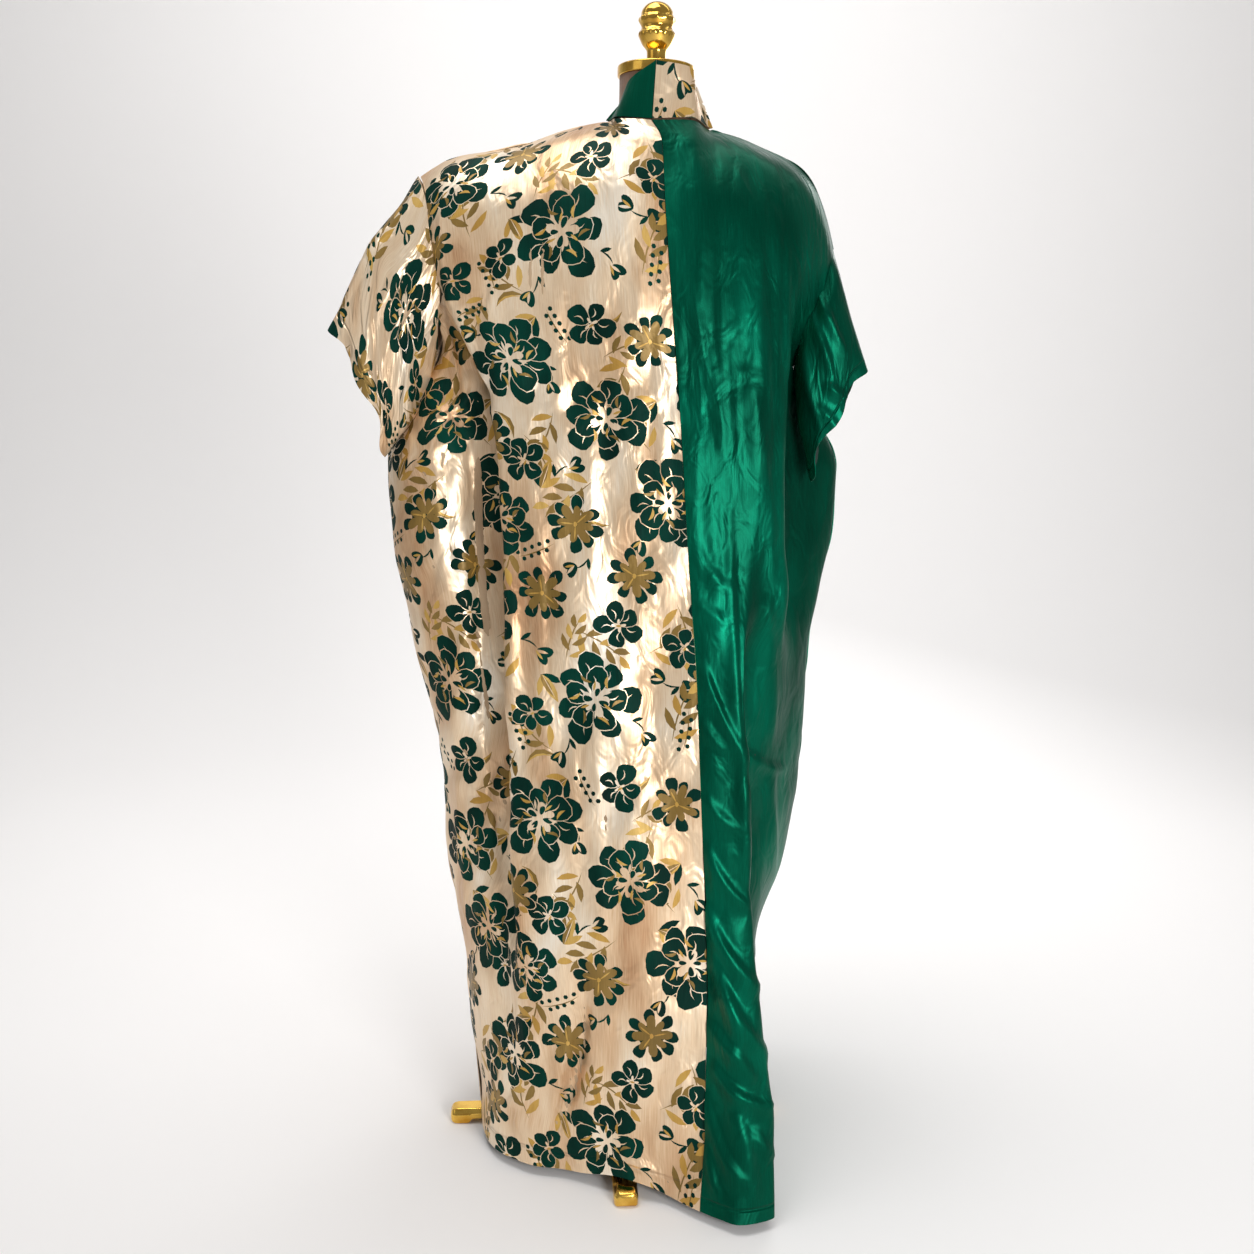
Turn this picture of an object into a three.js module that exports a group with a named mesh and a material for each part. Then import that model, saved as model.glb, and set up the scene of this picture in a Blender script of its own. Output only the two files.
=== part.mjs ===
// A two-tone, floor-length dress that stands open on a limbless dress form.
// Millimetres, +Z up. The garment's back faces -Y, its front +Y. Until the last lines, X = 0 and Y = 0
// are the axis of the form's neck and Z = 0 is the floor.

import * as THREE from 'three';

// ------------------------------------------------------------------ driving dimensions

const WALL = 1.6; // thickness of every cloth wall
const SEAM_GAP = 0.3; // room between two pieces of cloth at a seam
const SLEEVE_GAP = 2.2; // room between an armhole's edge and its sleeve
const BAND_GAP = 3; // room between the neckline's edge and the band above it
const HEM_HEIGHT = 14; // hem above the floor, between the legs
const HEM_LIFT = 13; // how much higher the hem passes over a leg
const HEM_LIFT_WIDTH = 42; // half the width of that rise
const HEM_LIFT_HEIGHT = 140; // how far up the skirt the rise fades away
const TOP = 1411; // height of the neckline at the centre back
const NECK_RADIUS = 49;
const CAP_RADIUS = 52;
const CAP_BOTTOM = 1479;
const CAP_TOP = 1494;
const POLE_RADIUS = 12.5;
const TORSO_BOTTOM = 790;
const STAND = { x: -34, y: -48, turn: 5 }; // the pole's place, and the legs' turn in degrees
// A leg's reach from the pole, its bar's section, how high the bar is clear of the floor, and its foot.
const LEG = { reach: 240, width: 33, height: 22, lift: 7, foot: 24, start: 24, bevel: 3 };

// ------------------------------------------------------------------ reading the tables

// Turns rows of numbers into objects with the named columns.
function table(columns, rows) {
  return rows.map((row) => Object.fromEntries(columns.map((name, i) => [name, row[i]])));
}

// Slopes of a monotone cubic through evenly spaced values. Where the values turn back, the slope is
// zero, so a fold's edge stays exactly where its row puts it. endEase flattens the last slope, and
// stop is the place of a value that the curve passes level.
function slopes(values, endEase, stop) {
  const last = values.length - 1;
  const rise = (i) => values[i + 1] - values[i];
  return values.map((_, i) => {
    if (i === stop) return 0;
    if (i === 0) return rise(0);
    if (i === last) return rise(last - 1) * (1 - endEase);
    const before = rise(i - 1);
    const after = rise(i);
    return before * after > 0 ? (2 * before * after) / (before + after) : 0;
  });
}

// The value at place t, counted in intervals from the first value.
function monotone(values, t, { endEase = 0, stop = -1 } = {}) {
  const i = Math.min(Math.floor(t), values.length - 2);
  const f = t - i;
  const slope = slopes(values, endEase, stop);
  const blend = f * f * (3 - 2 * f);
  return values[i] + (values[i + 1] - values[i]) * blend
    + slope[i] * f * (1 - f) * (1 - f) - slope[i + 1] * f * f * (1 - f);
}

// ------------------------------------------------------------------ the body's sections

// One row for each level of the dress, from the neckline to the hem: its height, the place of the
// centre back seam, the height and depth of the centre front seam, and how deep the front's soft
// folds are.
const LEVEL_COLUMNS = ['level', 'backX', 'backY', 'frontLevel', 'frontY', 'frontFolds'];
const LEVELS = table(LEVEL_COLUMNS, [
  [TOP, -5, -71, 1290, 108, 0],
  [1385, 8, -84, 1268, 112, 2],
  [1310, 13, -110, 1235, 117, 4],
  [1215, 21, -130, 1185, 122, 6],
  [1150, 27, -136, 1140, 123, 8],
  [1100, 32, -139, 1100, 123, 9],
  [1035, 38, -143, 1035, 124, 10],
  [960, 44, -149, 960, 126, 12],
  [870, 51, -155, 870, 132, 13],
  [790, 58, -164, 790, 136, 14],
  [700, 66, -176, 700, 142, 15],
  [540, 75, -198, 540, 154, 17],
  [390, 84, -220, 390, 166, 19],
  [270, 88, -240, 270, 176, 20],
  [130, 88, -270, 130, 186, 21],
  [HEM_HEIGHT, 82, -312, HEM_HEIGHT, 194, 22],
]);
const UNDERARM = 5; // the row where both armholes end
const SHOULDER_START = 2; // the line where the neckline ends and the shoulder seam starts

// The same levels along each back panel. slope is the share of the shoulder's fall that the level
// still has. bow pushes the cloth out between the centre seam and the ridge. Then come the places of
// the panel's lengthwise lines: a ridge, the edge of the deep fold, the valley behind it, the bulge
// beside it, the hollow next to that, and the side seam. armhole is half the opening, front to back,
// where the side seam is open for the sleeve.
const BACK_COLUMNS = ['slope', 'bow', 'ridgeX', 'ridgeY', 'foldX', 'foldY', 'valleyX', 'valleyY',
  'bulgeX', 'bulgeY', 'hollowX', 'hollowY', 'sideX', 'sideY', 'armhole'];

const LEFT_ROWS = table(BACK_COLUMNS, [
  [1, 20, -68, 0, -262, 0, -280, 0, -293, 0, -305, 0, -317, 0, 0],
  [0.95, 12, -75, -50, -272, -38, -281, -37, -290, -36, -298, -34, -306, 0, 32],
  [0.8, 6, -86, -106, -277, -62, -281, -60, -285, -57, -289, -54, -293, 0, 48],
  [0.3, 4, -89, -127, -273, -66, -275, -60, -278, -58, -280, -55, -283, 0, 52],
  [0, 3, -87, -134, -255, -78, -247, -30, -262, -32, -276, -36, -290, 0, 38],
  [0, 2, -84, -138, -235, -88, -226, -28, -256, -36, -280, -28, -298, 0, 0],
  [0, 2, -80, -141, -208, -102, -198, -32, -252, -48, -298, -34, -344, 36, 0],
  [0, 2, -76, -146, -193, -116, -183, -38, -258, -62, -326, -48, -366, 20, 0],
  [0, 2, -73, -152, -189, -124, -178, -46, -257, -72, -328, -56, -360, 0, 0],
  [0, 2, -70, -161, -184, -132, -172, -52, -252, -76, -318, -56, -350, 0, 0],
  [0, 2, -68, -172, -180, -142, -168, -62, -240, -80, -300, -56, -331, 0, 0],
  [0, 3, -64, -196, -174, -160, -162, -84, -216, -92, -264, -60, -291, -5, 0],
  [0, 4, -60, -212, -172, -176, -166, -122, -202, -112, -254, -66, -284, -10, 0],
  [0, 4, -58, -222, -164, -190, -178, -165, -202, -136, -240, -78, -257, -20, 0],
  [0, 2, -55, -230, -152, -202, -180, -182, -206, -152, -232, -92, -243, -34, 0],
  [0, -4, -52, -238, -140, -210, -168, -198, -190, -180, -215, -132, -230, -72, 0],
]);

const RIGHT_ROWS = table(BACK_COLUMNS, [
  [1, 20, 79, 0, 140, 0, 187, 0, 214, 0, 234, 0, 246, 0, 0],
  [0.95, 10, 84, -50, 138, -56, 180, -50, 206, -45, 226, -38, 239, 0, 30],
  [0.8, 6, 84, -108, 132, -104, 170, -92, 195, -78, 213, -62, 224, -6, 42],
  [0.35, 4, 85, -127, 128, -124, 160, -109, 189, -90, 198, -70, 209, -12, 42],
  [0.1, 3, 87, -134, 128, -133, 158, -118, 185, -96, 188, -66, 201, -17, 30],
  [0, 2, 90, -137, 130, -136, 158, -122, 181, -100, 176, -56, 196, -18, 0],
  [0, 2, 94, -142, 132, -139, 158, -126, 178, -106, 172, -44, 236, 42, 0],
  [0, 2, 98, -148, 135, -143, 156, -131, 177, -112, 166, -46, 272, 42, 0],
  [0, 2, 100, -154, 132, -149, 154, -137, 180, -116, 168, -54, 268, 38, 0],
  [0, 2, 101, -165, 130, -160, 150, -142, 187, -114, 178, -60, 250, 22, 0],
  [0, 2, 103, -182, 127, -184, 124, -146, 184, -102, 200, -66, 233, 8, 0],
  [0, 3, 106, -206, 132, -204, 124, -152, 178, -98, 202, -62, 227, 0, 0],
  [0, 4, 116, -233, 144, -222, 134, -166, 168, -112, 186, -72, 207, -8, 0],
  [0, 4, 126, -262, 156, -246, 147, -190, 157, -134, 162, -86, 167, -25, 0],
  [0, 2, 134, -298, 177, -282, 166, -215, 170, -155, 174, -102, 178, -45, 0],
  [0, 2, 132, -340, 181, -320, 178, -250, 180, -182, 181, -120, 181, -60, 0],
]);

// How far each line of the shoulder seam lies below the centre back of the neckline.
const DROP_COLUMNS = ['centre', 'nape', 'ridge', 'fold', 'valley', 'bulge', 'hollow', 'side'];
const [LEFT_DROP, RIGHT_DROP] = table(DROP_COLUMNS, [
  [0, -6, -10, 41, 46, 52, 58, 65],
  [0, -5, -2, 18, 37, 64, 108, 151],
]);

// The front's lengthwise lines: their share of the way round from the centre front to the side, and
// how far each is pushed out, as a share of the level's folds.
const FRONT_CENTRE = { top: 0, hem: 10 }; // x of the centre front seam
const NECK_V = { left: [-50, 56], right: [52, 54] }; // x and y half way up the neckline's V
const NECK_V_HEIGHT = 1372;
const CHEST = { top: 1310, bottom: 1035, depth: 0.92, bow: 4 }; // where the front follows the back
const FRONT_LINES = { nape: 0.15, ridge: 0.32, fold: 0.5, valley: 0.64, bulge: 0.78, hollow: 0.92 };
const FRONT_WAVE = { nape: -0.6, ridge: 1, fold: -0.9, valley: 0.8, bulge: -0.7, hollow: 0 };

// Cells of the wall between one lengthwise line and the next.
const BACK_CELLS = [2, 2, 4, 3, 2, 2, 2];
const FRONT_CELLS = [2, 2, 2, 2, 2, 2, 1];
const ROW_CELLS = [2, 2, 3, 2, 2, 2, 2, 2, 2, 2, 2, 2, 2, 2, 2];

// ------------------------------------------------------------------ places on the body

// The eight lines of one back row, as {x, y, z}.
function backLines(row, level, drop) {
  const place = (x, y, line) => ({ x, y, z: level.level - row.slope * drop[line] });
  const across = new THREE.Vector2(row.ridgeX - level.backX, row.ridgeY - level.backY);
  const outward = new THREE.Vector2(across.y, -across.x).normalize();
  if (outward.y > 0) outward.negate();
  const nape = place(
    (level.backX + row.ridgeX) / 2 + outward.x * row.bow,
    (level.backY + row.ridgeY) / 2 + outward.y * row.bow,
    'nape',
  );
  return [
    place(level.backX, level.backY, 'centre'),
    nape,
    place(row.ridgeX, row.ridgeY, 'ridge'),
    place(row.foldX, row.foldY, 'fold'),
    place(row.valleyX, row.valleyY, 'valley'),
    place(row.bulgeX, row.bulgeY, 'bulge'),
    place(row.hollowX, row.hollowY, 'hollow'),
    place(row.sideX, row.sideY - row.armhole, 'side'),
  ];
}

// The eight lines of one front row. The shoulder and the side seam are the back's own.
function frontLines(row, level, drop, neckV) {
  const shoulder = backLines(row, level, drop);
  const fall = (TOP - level.level) / (TOP - HEM_HEIGHT);
  const centre = {
    x: THREE.MathUtils.lerp(FRONT_CENTRE.top, FRONT_CENTRE.hem, fall),
    y: level.frontY,
    z: level.frontLevel,
  };
  const side = { x: row.sideX, y: row.sideY + row.armhole, z: shoulder[7].z };
  if (level === LEVELS[0]) {
    const neck = { x: neckV[0], y: neckV[1], z: NECK_V_HEIGHT };
    return [centre, neck, ...shoulder.slice(2, 7), side];
  }
  const follow = THREE.MathUtils.smoothstep(level.level, CHEST.bottom, CHEST.top);
  const inner = DROP_COLUMNS.slice(1, 7).map((name, i) => {
    const turn = FRONT_LINES[name] * Math.PI / 2;
    const round = Math.pow(Math.cos(turn), 0.8);
    const x = centre.x + (side.x - centre.x) * Math.sin(turn);
    const y = side.y + (centre.y - side.y) * round + FRONT_WAVE[name] * level.frontFolds;
    return {
      x: THREE.MathUtils.lerp(x, shoulder[i + 1].x, follow),
      y: THREE.MathUtils.lerp(y, -CHEST.depth * shoulder[i + 1].y, follow),
      z: shoulder[i + 1].z,
    };
  });
  inner[0].y = THREE.MathUtils.lerp(inner[0].y, (centre.y + inner[1].y) / 2 + CHEST.bow, follow);
  inner[0].z = (centre.z + inner[1].z) / 2;
  return [centre, ...inner, side];
}

// Height that the hem gains where it passes over a leg of the stand.
function hemRise(x, y, z) {
  const height = THREE.MathUtils.clamp((z - HEM_HEIGHT) / HEM_LIFT_HEIGHT, 0, 1);
  let rise = 0;
  for (const direction of legDirections()) {
    const away = new THREE.Vector2(x - STAND.x, y - STAND.y);
    if (away.dot(direction) < 0) continue;
    const aside = away.cross(direction) / HEM_LIFT_WIDTH;
    rise += Math.exp(-aside * aside);
  }
  return HEM_LIFT * rise * (1 - height) * (1 - height);
}

// A panel's rows become a surface of u, in lines from the centre seam, and v, in rows from the top.
// Each lengthwise line is drawn down the rows first, and then the cloth is drawn across the lines.
// Below the underarm the cloth turns round the side seam, so it leaves the seam straight to the back
// or to the front.
function panelSurface(rows) {
  const lines = rows[0].map((_, line) => Object.fromEntries(
    ['x', 'y', 'z'].map((axis) => [axis, rows.map((row) => row[line][axis])]),
  ));
  const side = lines.length - 1;
  return (u, v) => {
    const turn = THREE.MathUtils.clamp(v - UNDERARM + 1, 0, 1);
    const down = (line, axis) => monotone(
      lines[line][axis],
      v,
      { stop: line === side && axis === 'y' ? UNDERARM : -1 },
    );
    const across = (axis) => monotone(
      lines.map((_, line) => down(line, axis)),
      u,
      { endEase: axis === 'x' ? turn : 0 },
    );
    const point = new THREE.Vector3(across('x'), across('y'), across('z'));
    point.z += hemRise(point.x, point.y, point.z);
    return point;
  };
}

// ------------------------------------------------------------------ cloth walls

// Places along the lines of a table: each interval is split into its number of cells.
function stations(cells) {
  const places = [0];
  cells.forEach((count, i) => {
    for (let step = 1; step <= count; step += 1) places.push(i + step / count);
  });
  return places;
}

// Outward normal of a surface at (u, v), by small steps that stay inside its limits.
function normalAt(surface, u, v, limit) {
  const step = 0.02;
  const [u0, u1] = [Math.max(u - step, 0), Math.min(u + step, limit.u)];
  const [v0, v1] = [Math.max(v - step, 0), Math.min(v + step, limit.v)];
  const along = surface(u1, v).sub(surface(u0, v));
  const down = surface(u, v1).sub(surface(u, v0));
  return along.cross(down).normalize();
}

// A closed wall round a grid of points and normals: its outer and inner faces and its four edges.
function wallGeometry(points, normals) {
  const [rows, columns] = [points.length, points[0].length];
  const vertices = [];
  for (const side of [0.5, -0.5]) {
    points.forEach((row, j) => row.forEach((point, i) => {
      const moved = point.clone().addScaledVector(normals[j][i], side * WALL);
      vertices.push(moved.x, moved.y, moved.z);
    }));
  }
  const outer = (j, i) => j * columns + i;
  const inner = (j, i) => rows * columns + j * columns + i;
  const faces = [];
  const quad = (a, b, c, d) => faces.push(a, b, c, a, c, d);
  for (let j = 0; j < rows - 1; j += 1) {
    for (let i = 0; i < columns - 1; i += 1) {
      quad(outer(j, i), outer(j, i + 1), outer(j + 1, i + 1), outer(j + 1, i));
      quad(inner(j, i), inner(j + 1, i), inner(j + 1, i + 1), inner(j, i + 1));
    }
  }
  const [bottom, right] = [rows - 1, columns - 1];
  for (let i = 0; i < right; i += 1) {
    quad(outer(0, i), inner(0, i), inner(0, i + 1), outer(0, i + 1));
    quad(outer(bottom, i), outer(bottom, i + 1), inner(bottom, i + 1), inner(bottom, i));
  }
  for (let j = 0; j < bottom; j += 1) {
    quad(outer(j, 0), outer(j + 1, 0), inner(j + 1, 0), inner(j, 0));
    quad(outer(j, right), inner(j, right), inner(j + 1, right), outer(j + 1, right));
  }
  return closedGeometry(vertices, faces);
}

// The same round a tube, whose last column meets its first.
function tubeGeometry(points, normals) {
  const [rows, columns] = [points.length, points[0].length];
  const vertices = [];
  for (const side of [0.5, -0.5]) {
    points.forEach((row, j) => row.forEach((point, i) => {
      const moved = point.clone().addScaledVector(normals[j][i], side * WALL);
      vertices.push(moved.x, moved.y, moved.z);
    }));
  }
  const outer = (j, i) => j * columns + (i % columns);
  const inner = (j, i) => rows * columns + outer(j, i);
  const faces = [];
  const quad = (a, b, c, d) => faces.push(a, b, c, a, c, d);
  for (let i = 0; i < columns; i += 1) {
    for (let j = 0; j < rows - 1; j += 1) {
      quad(outer(j, i), outer(j, i + 1), outer(j + 1, i + 1), outer(j + 1, i));
      quad(inner(j, i), inner(j + 1, i), inner(j + 1, i + 1), inner(j, i + 1));
    }
    quad(outer(0, i), inner(0, i), inner(0, i + 1), outer(0, i + 1));
    quad(outer(rows - 1, i), outer(rows - 1, i + 1), inner(rows - 1, i + 1), inner(rows - 1, i));
  }
  return closedGeometry(vertices, faces);
}

// Turns vertices and faces into a geometry whose faces point out of the solid.
function closedGeometry(vertices, faces) {
  const corner = (i) => new THREE.Vector3().fromArray(vertices, 3 * i);
  let volume = 0;
  for (let f = 0; f < faces.length; f += 3) {
    const [a, b, c] = [corner(faces[f]), corner(faces[f + 1]), corner(faces[f + 2])];
    volume += a.dot(b.cross(c));
  }
  const geometry = new THREE.BufferGeometry();
  geometry.setAttribute('position', new THREE.Float32BufferAttribute(vertices, 3));
  geometry.setIndex(volume < 0 ? faces.slice().reverse() : faces);
  geometry.computeVertexNormals();
  return geometry;
}

// The wall at a seam is square to the seam's own line, so that both pieces are cut alike there and
// the gap between them is even. across is the axis that the seam parts the cloth along.
function seamFrame(before, after, across) {
  const line = after.clone().sub(before);
  const normal = line.clone().cross(across).normalize();
  return { normal, shift: normal.clone().cross(line).normalize() };
}

const X_AXIS = new THREE.Vector3(1, 0, 0);
const Y_AXIS = new THREE.Vector3(0, 1, 0);

// Moves a seam's point to its own piece's side of the gap, and turns its normal to face as given.
function atSeam(point, normal, before, after, across, side) {
  const frame = seamFrame(before, after, across);
  if (frame.normal.dot(normal) < 0) frame.normal.negate();
  normal.copy(frame.normal);
  point.addScaledVector(frame.shift, Math.sign(frame.shift.dot(across)) * side * SEAM_GAP / 2);
}

// One panel of the body.
function panel(surface, cells, front) {
  const us = stations(cells);
  const vs = stations(ROW_CELLS);
  const limit = { u: cells.length, v: ROW_CELLS.length };
  const away = front ? 1 : -1;
  const sideSign = Math.sign(surface(limit.u, 0).x);
  const step = 0.02;
  const points = [];
  const normals = [];
  for (const v of vs) {
    const pointRow = [];
    const normalRow = [];
    const [v0, v1] = [Math.max(v - step, 0), Math.min(v + step, limit.v)];
    for (const u of us) {
      const point = surface(u, v);
      const normal = normalAt(surface, u, v, limit).multiplyScalar(-away * sideSign);
      if (u === 0) {
        atSeam(point, normal, surface(u, v0), surface(u, v1), X_AXIS, sideSign);
      } else if (v === 0 && u >= SHOULDER_START) {
        const u0 = Math.max(u - step, SHOULDER_START);
        const u1 = Math.min(u + step, limit.u);
        atSeam(point, normal, surface(u0, v), surface(u1, v), Y_AXIS, away);
      } else if (u === limit.u && v >= UNDERARM) {
        atSeam(point, normal, surface(u, Math.max(v0, UNDERARM)), surface(u, v1), Y_AXIS, away);
      }
      pointRow.push(point);
      normalRow.push(normal);
    }
    points.push(pointRow);
    normals.push(normalRow);
  }
  return wallGeometry(points, normals);
}

// ------------------------------------------------------------------ sleeves

// One row for each section after the armhole: the section's upper, outer end, its lower, inner end,
// the middle and half the depth of the flattened tube, and how far the section's middle is drawn in
// towards the body and up.
const SLEEVE_COLUMNS = ['outerX', 'outerZ', 'innerX', 'innerZ', 'middleY', 'halfDepth', 'inward', 'upward'];
const LEFT_SLEEVE = table(SLEEVE_COLUMNS, [
  [-348, 1302, -316, 1072, -12, 46, 0, 0],
  [-382, 1249, -333, 1036, -18, 44, 2, 2],
  [-411, 1196, -350, 1001, -24, 38, 6, 4],
  [-440, 1140, -368, 968, -30, 28, 15, 7],
]);
const RIGHT_SLEEVE = table(SLEEVE_COLUMNS, [
  [256, 1222, 207, 1068, -24, 40, 0, 0],
  [268, 1183, 211, 1030, -28, 38, 2, 2],
  [281, 1140, 219, 988, -32, 34, 6, 4],
  [295, 1098, 227, 945, -36, 28, 13, 6],
]);
const SLEEVE_CELLS = 2;
const SLEEVE_AROUND = 22;

// A point on the armhole's edge: turn 0 is its top, half a turn its lowest point.
function armholePoint(back, front, turn) {
  const onBack = turn <= 0.5;
  const v = UNDERARM * 2 * (onBack ? turn : 1 - turn);
  return onBack ? back(7, v) : front(7, v);
}

function sleeve(back, front, rows) {
  const outward = Math.sign(rows[0].outerX);
  const rings = (turn) => {
    const start = armholePoint(back, front, turn);
    start.x += outward * SLEEVE_GAP;
    const angle = turn * 2 * Math.PI;
    const along = (1 + Math.cos(angle)) / 2;
    const midway = Math.sin(angle) ** 2;
    return [start, ...rows.map((row) => new THREE.Vector3(
      THREE.MathUtils.lerp(row.innerX, row.outerX, along) - outward * midway * row.inward,
      row.middleY - row.halfDepth * Math.sin(angle),
      THREE.MathUtils.lerp(row.innerZ, row.outerZ, along) + midway * row.upward,
    ))];
  };
  const surface = (turn, v) => {
    const ring = rings(((turn % 1) + 1) % 1);
    const [x, y, z] = ['x', 'y', 'z'].map((axis) => monotone(ring.map((p) => p[axis]), v));
    return new THREE.Vector3(x, y, z);
  };
  const vs = stations(rows.map(() => SLEEVE_CELLS));
  const points = [];
  const normals = [];
  for (const v of vs) {
    const turns = Array.from({ length: SLEEVE_AROUND }, (_, i) => i / SLEEVE_AROUND);
    points.push(turns.map((turn) => surface(turn, v)));
    normals.push(turns.map((turn) => {
      const step = 0.01;
      const along = surface(turn + step, v).sub(surface(turn - step, v));
      const down = surface(turn, Math.min(v + step, rows.length))
        .sub(surface(turn, Math.max(v - step, 0)));
      return along.cross(down).normalize().multiplyScalar(-outward);
    }));
  }
  return tubeGeometry(points, normals);
}

// ------------------------------------------------------------------ neck band

// One row for each station of the band, from the centre back to the foot of the V: where along the
// neckline it stands (0 to 2 on the back, then 2 to 4 on the front), and how far its free edge lies
// from its seam.
const BAND_COLUMNS = ['along', 'toX', 'toY', 'toZ'];
const LEFT_BAND = table(BAND_COLUMNS, [
  [0, 4, 9, 74],
  [1, 11, 6, 60],
  [2, 12, -5, 34],
  [2.5, 9, 6, 24],
  [3, 20, 10, 12],
  [4, 0, 3, 34],
]);
const RIGHT_BAND = table(BAND_COLUMNS, [
  [0, 4, 9, 74],
  [1, -4, 4, 63],
  [2, -22, -3, 52],
  [2.5, -12, 8, 37],
  [3, -20, 10, 16],
  [4, 0, 3, 34],
]);
const BAND_CELLS = [3, 3, 3, 3];
const BAND_HEIGHT_CELLS = 3;

function neckBand(back, front, rows) {
  const sideSign = Math.sign(back(SHOULDER_START, 0).x);
  const end = 2 * SHOULDER_START;
  const seam = (t) => (t <= SHOULDER_START ? back(t, 0) : front(end - t, 0));
  const reachAt = (t) => {
    const next = rows.findIndex((row) => row.along >= t);
    if (next === 0) return new THREE.Vector3(rows[0].toX, rows[0].toY, rows[0].toZ);
    const place = next - (rows[next].along - t) / (rows[next].along - rows[next - 1].along);
    const [x, y, z] = ['toX', 'toY', 'toZ'].map((axis) => monotone(rows.map((row) => row[axis]), place));
    return new THREE.Vector3(x, y, z);
  };
  const surface = (t, s) => {
    const reach = reachAt(t);
    return seam(t).addScaledVector(reach, s + BAND_GAP / reach.length());
  };
  const step = 0.02;
  const points = [];
  const normals = [];
  for (let j = BAND_HEIGHT_CELLS; j >= 0; j -= 1) {
    const s = j / BAND_HEIGHT_CELLS;
    const pointRow = [];
    const normalRow = [];
    for (const t of stations(BAND_CELLS)) {
      const point = surface(t, s);
      const along = surface(Math.min(t + step, end), s).sub(surface(Math.max(t - step, 0), s));
      const [foot, head] = [surface(t, 0), surface(t, 1)];
      const normal = head.clone().sub(foot).cross(along).multiplyScalar(sideSign).normalize();
      if (t === 0 || t === end) atSeam(point, normal, foot, head, X_AXIS, sideSign);
      pointRow.push(point);
      normalRow.push(normal);
    }
    points.push(pointRow);
    normals.push(normalRow);
  }
  return wallGeometry(points, normals);
}

// ------------------------------------------------------------------ dress form and stand

// One row for each level of the torso: half its width, half its depth, and the level's middle.
const TORSO_COLUMNS = ['level', 'halfWidth', 'halfDepth', 'x', 'y'];
const TORSO_ROWS = table(TORSO_COLUMNS, [
  [TORSO_BOTTOM, 118, 74, -24, -40],
  [815, 136, 90, -23, -38],
  [880, 142, 96, -21, -34],
  [960, 132, 90, -18, -30],
  [1060, 112, 80, -14, -26],
  [1140, 122, 88, -11, -22],
  [1220, 138, 96, -8, -18],
  [1290, 160, 88, -5, -12],
  [1330, 172, 74, -3, -8],
  [1360, 148, 58, -2, -5],
  [1385, 88, 48, -1, -4],
  [1402, 58, 46, 0, -2],
  [1425, 49, 48, 0, 0],
  [1455, NECK_RADIUS, NECK_RADIUS, 0, 0],
  [CAP_BOTTOM - SEAM_GAP, NECK_RADIUS, NECK_RADIUS, 0, 0],
]);
const TORSO_AROUND = 32;

// A closed body of oval sections, with a flat lid at each end.
function torso() {
  const rings = [];
  const last = TORSO_ROWS.length - 1;
  for (let v = 0; v <= last; v += 1) {
    const row = TORSO_ROWS[v];
    rings.push(Array.from({ length: TORSO_AROUND }, (_, i) => {
      const angle = (i / TORSO_AROUND) * 2 * Math.PI;
      const [x, y] = [row.halfWidth * Math.cos(angle), row.halfDepth * Math.sin(angle)];
      return [row.x + x, row.y + y, row.level];
    }));
  }
  const vertices = rings.flat(2);
  const faces = [];
  for (let v = 0; v < last; v += 1) {
    for (let i = 0; i < TORSO_AROUND; i += 1) {
      const next = (i + 1) % TORSO_AROUND;
      const [a, b] = [v * TORSO_AROUND + i, v * TORSO_AROUND + next];
      const [c, d] = [(v + 1) * TORSO_AROUND + next, (v + 1) * TORSO_AROUND + i];
      faces.push(a, b, c, a, c, d);
    }
  }
  for (const [ring, row] of [[0, TORSO_ROWS[0]], [last, TORSO_ROWS[last]]]) {
    const middle = vertices.length / 3;
    vertices.push(row.x, row.y, row.level);
    for (let i = 0; i < TORSO_AROUND; i += 1) {
      const [a, b] = [ring * TORSO_AROUND + i, ring * TORSO_AROUND + ((i + 1) % TORSO_AROUND)];
      if (ring === 0) faces.push(middle, b, a);
      else faces.push(middle, a, b);
    }
  }
  return closedGeometry(vertices, faces);
}

// A turned body from a profile of [radius, height] points, standing on its axis.
function turned(profile, around) {
  const points = profile.map(([radius, height]) => new THREE.Vector2(radius, height));
  return new THREE.LatheGeometry(points, around).rotateX(Math.PI / 2);
}

// Radius and height above the cap's underside: a straight rim with a rounded top edge.
const CAP_HEIGHT = CAP_TOP - CAP_BOTTOM;
const CAP_PROFILE = [
  [0, 0], [CAP_RADIUS - 1, 0], [CAP_RADIUS, 1], [CAP_RADIUS, CAP_HEIGHT - 3],
  [CAP_RADIUS - 2, CAP_HEIGHT - 1], [CAP_RADIUS - 8, CAP_HEIGHT], [0, CAP_HEIGHT],
];

// Radius and height above the cap: a stem, a bowl, a ring, a waist, a second ring and a low dome.
const FINIAL_PROFILE = [
  [0, 0], [14.5, 0], [13, 3], [12.6, 18], [14.4, 21], [19, 26], [22.5, 33], [24.8, 38], [24.8, 41],
  [22, 44], [20.4, 48], [22, 52], [24.8, 56], [24.8, 60], [21.6, 63], [21.2, 68], [18.5, 73],
  [14, 77.5], [7.5, 80.5], [0, 81.5],
];

// The four directions of the legs, as unit vectors seen from above.
function legDirections() {
  return [0, 1, 2, 3].map((quarter) => {
    const angle = THREE.MathUtils.degToRad(STAND.turn + 90 * quarter - 90);
    return new THREE.Vector2(Math.cos(angle), Math.sin(angle));
  });
}

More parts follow.
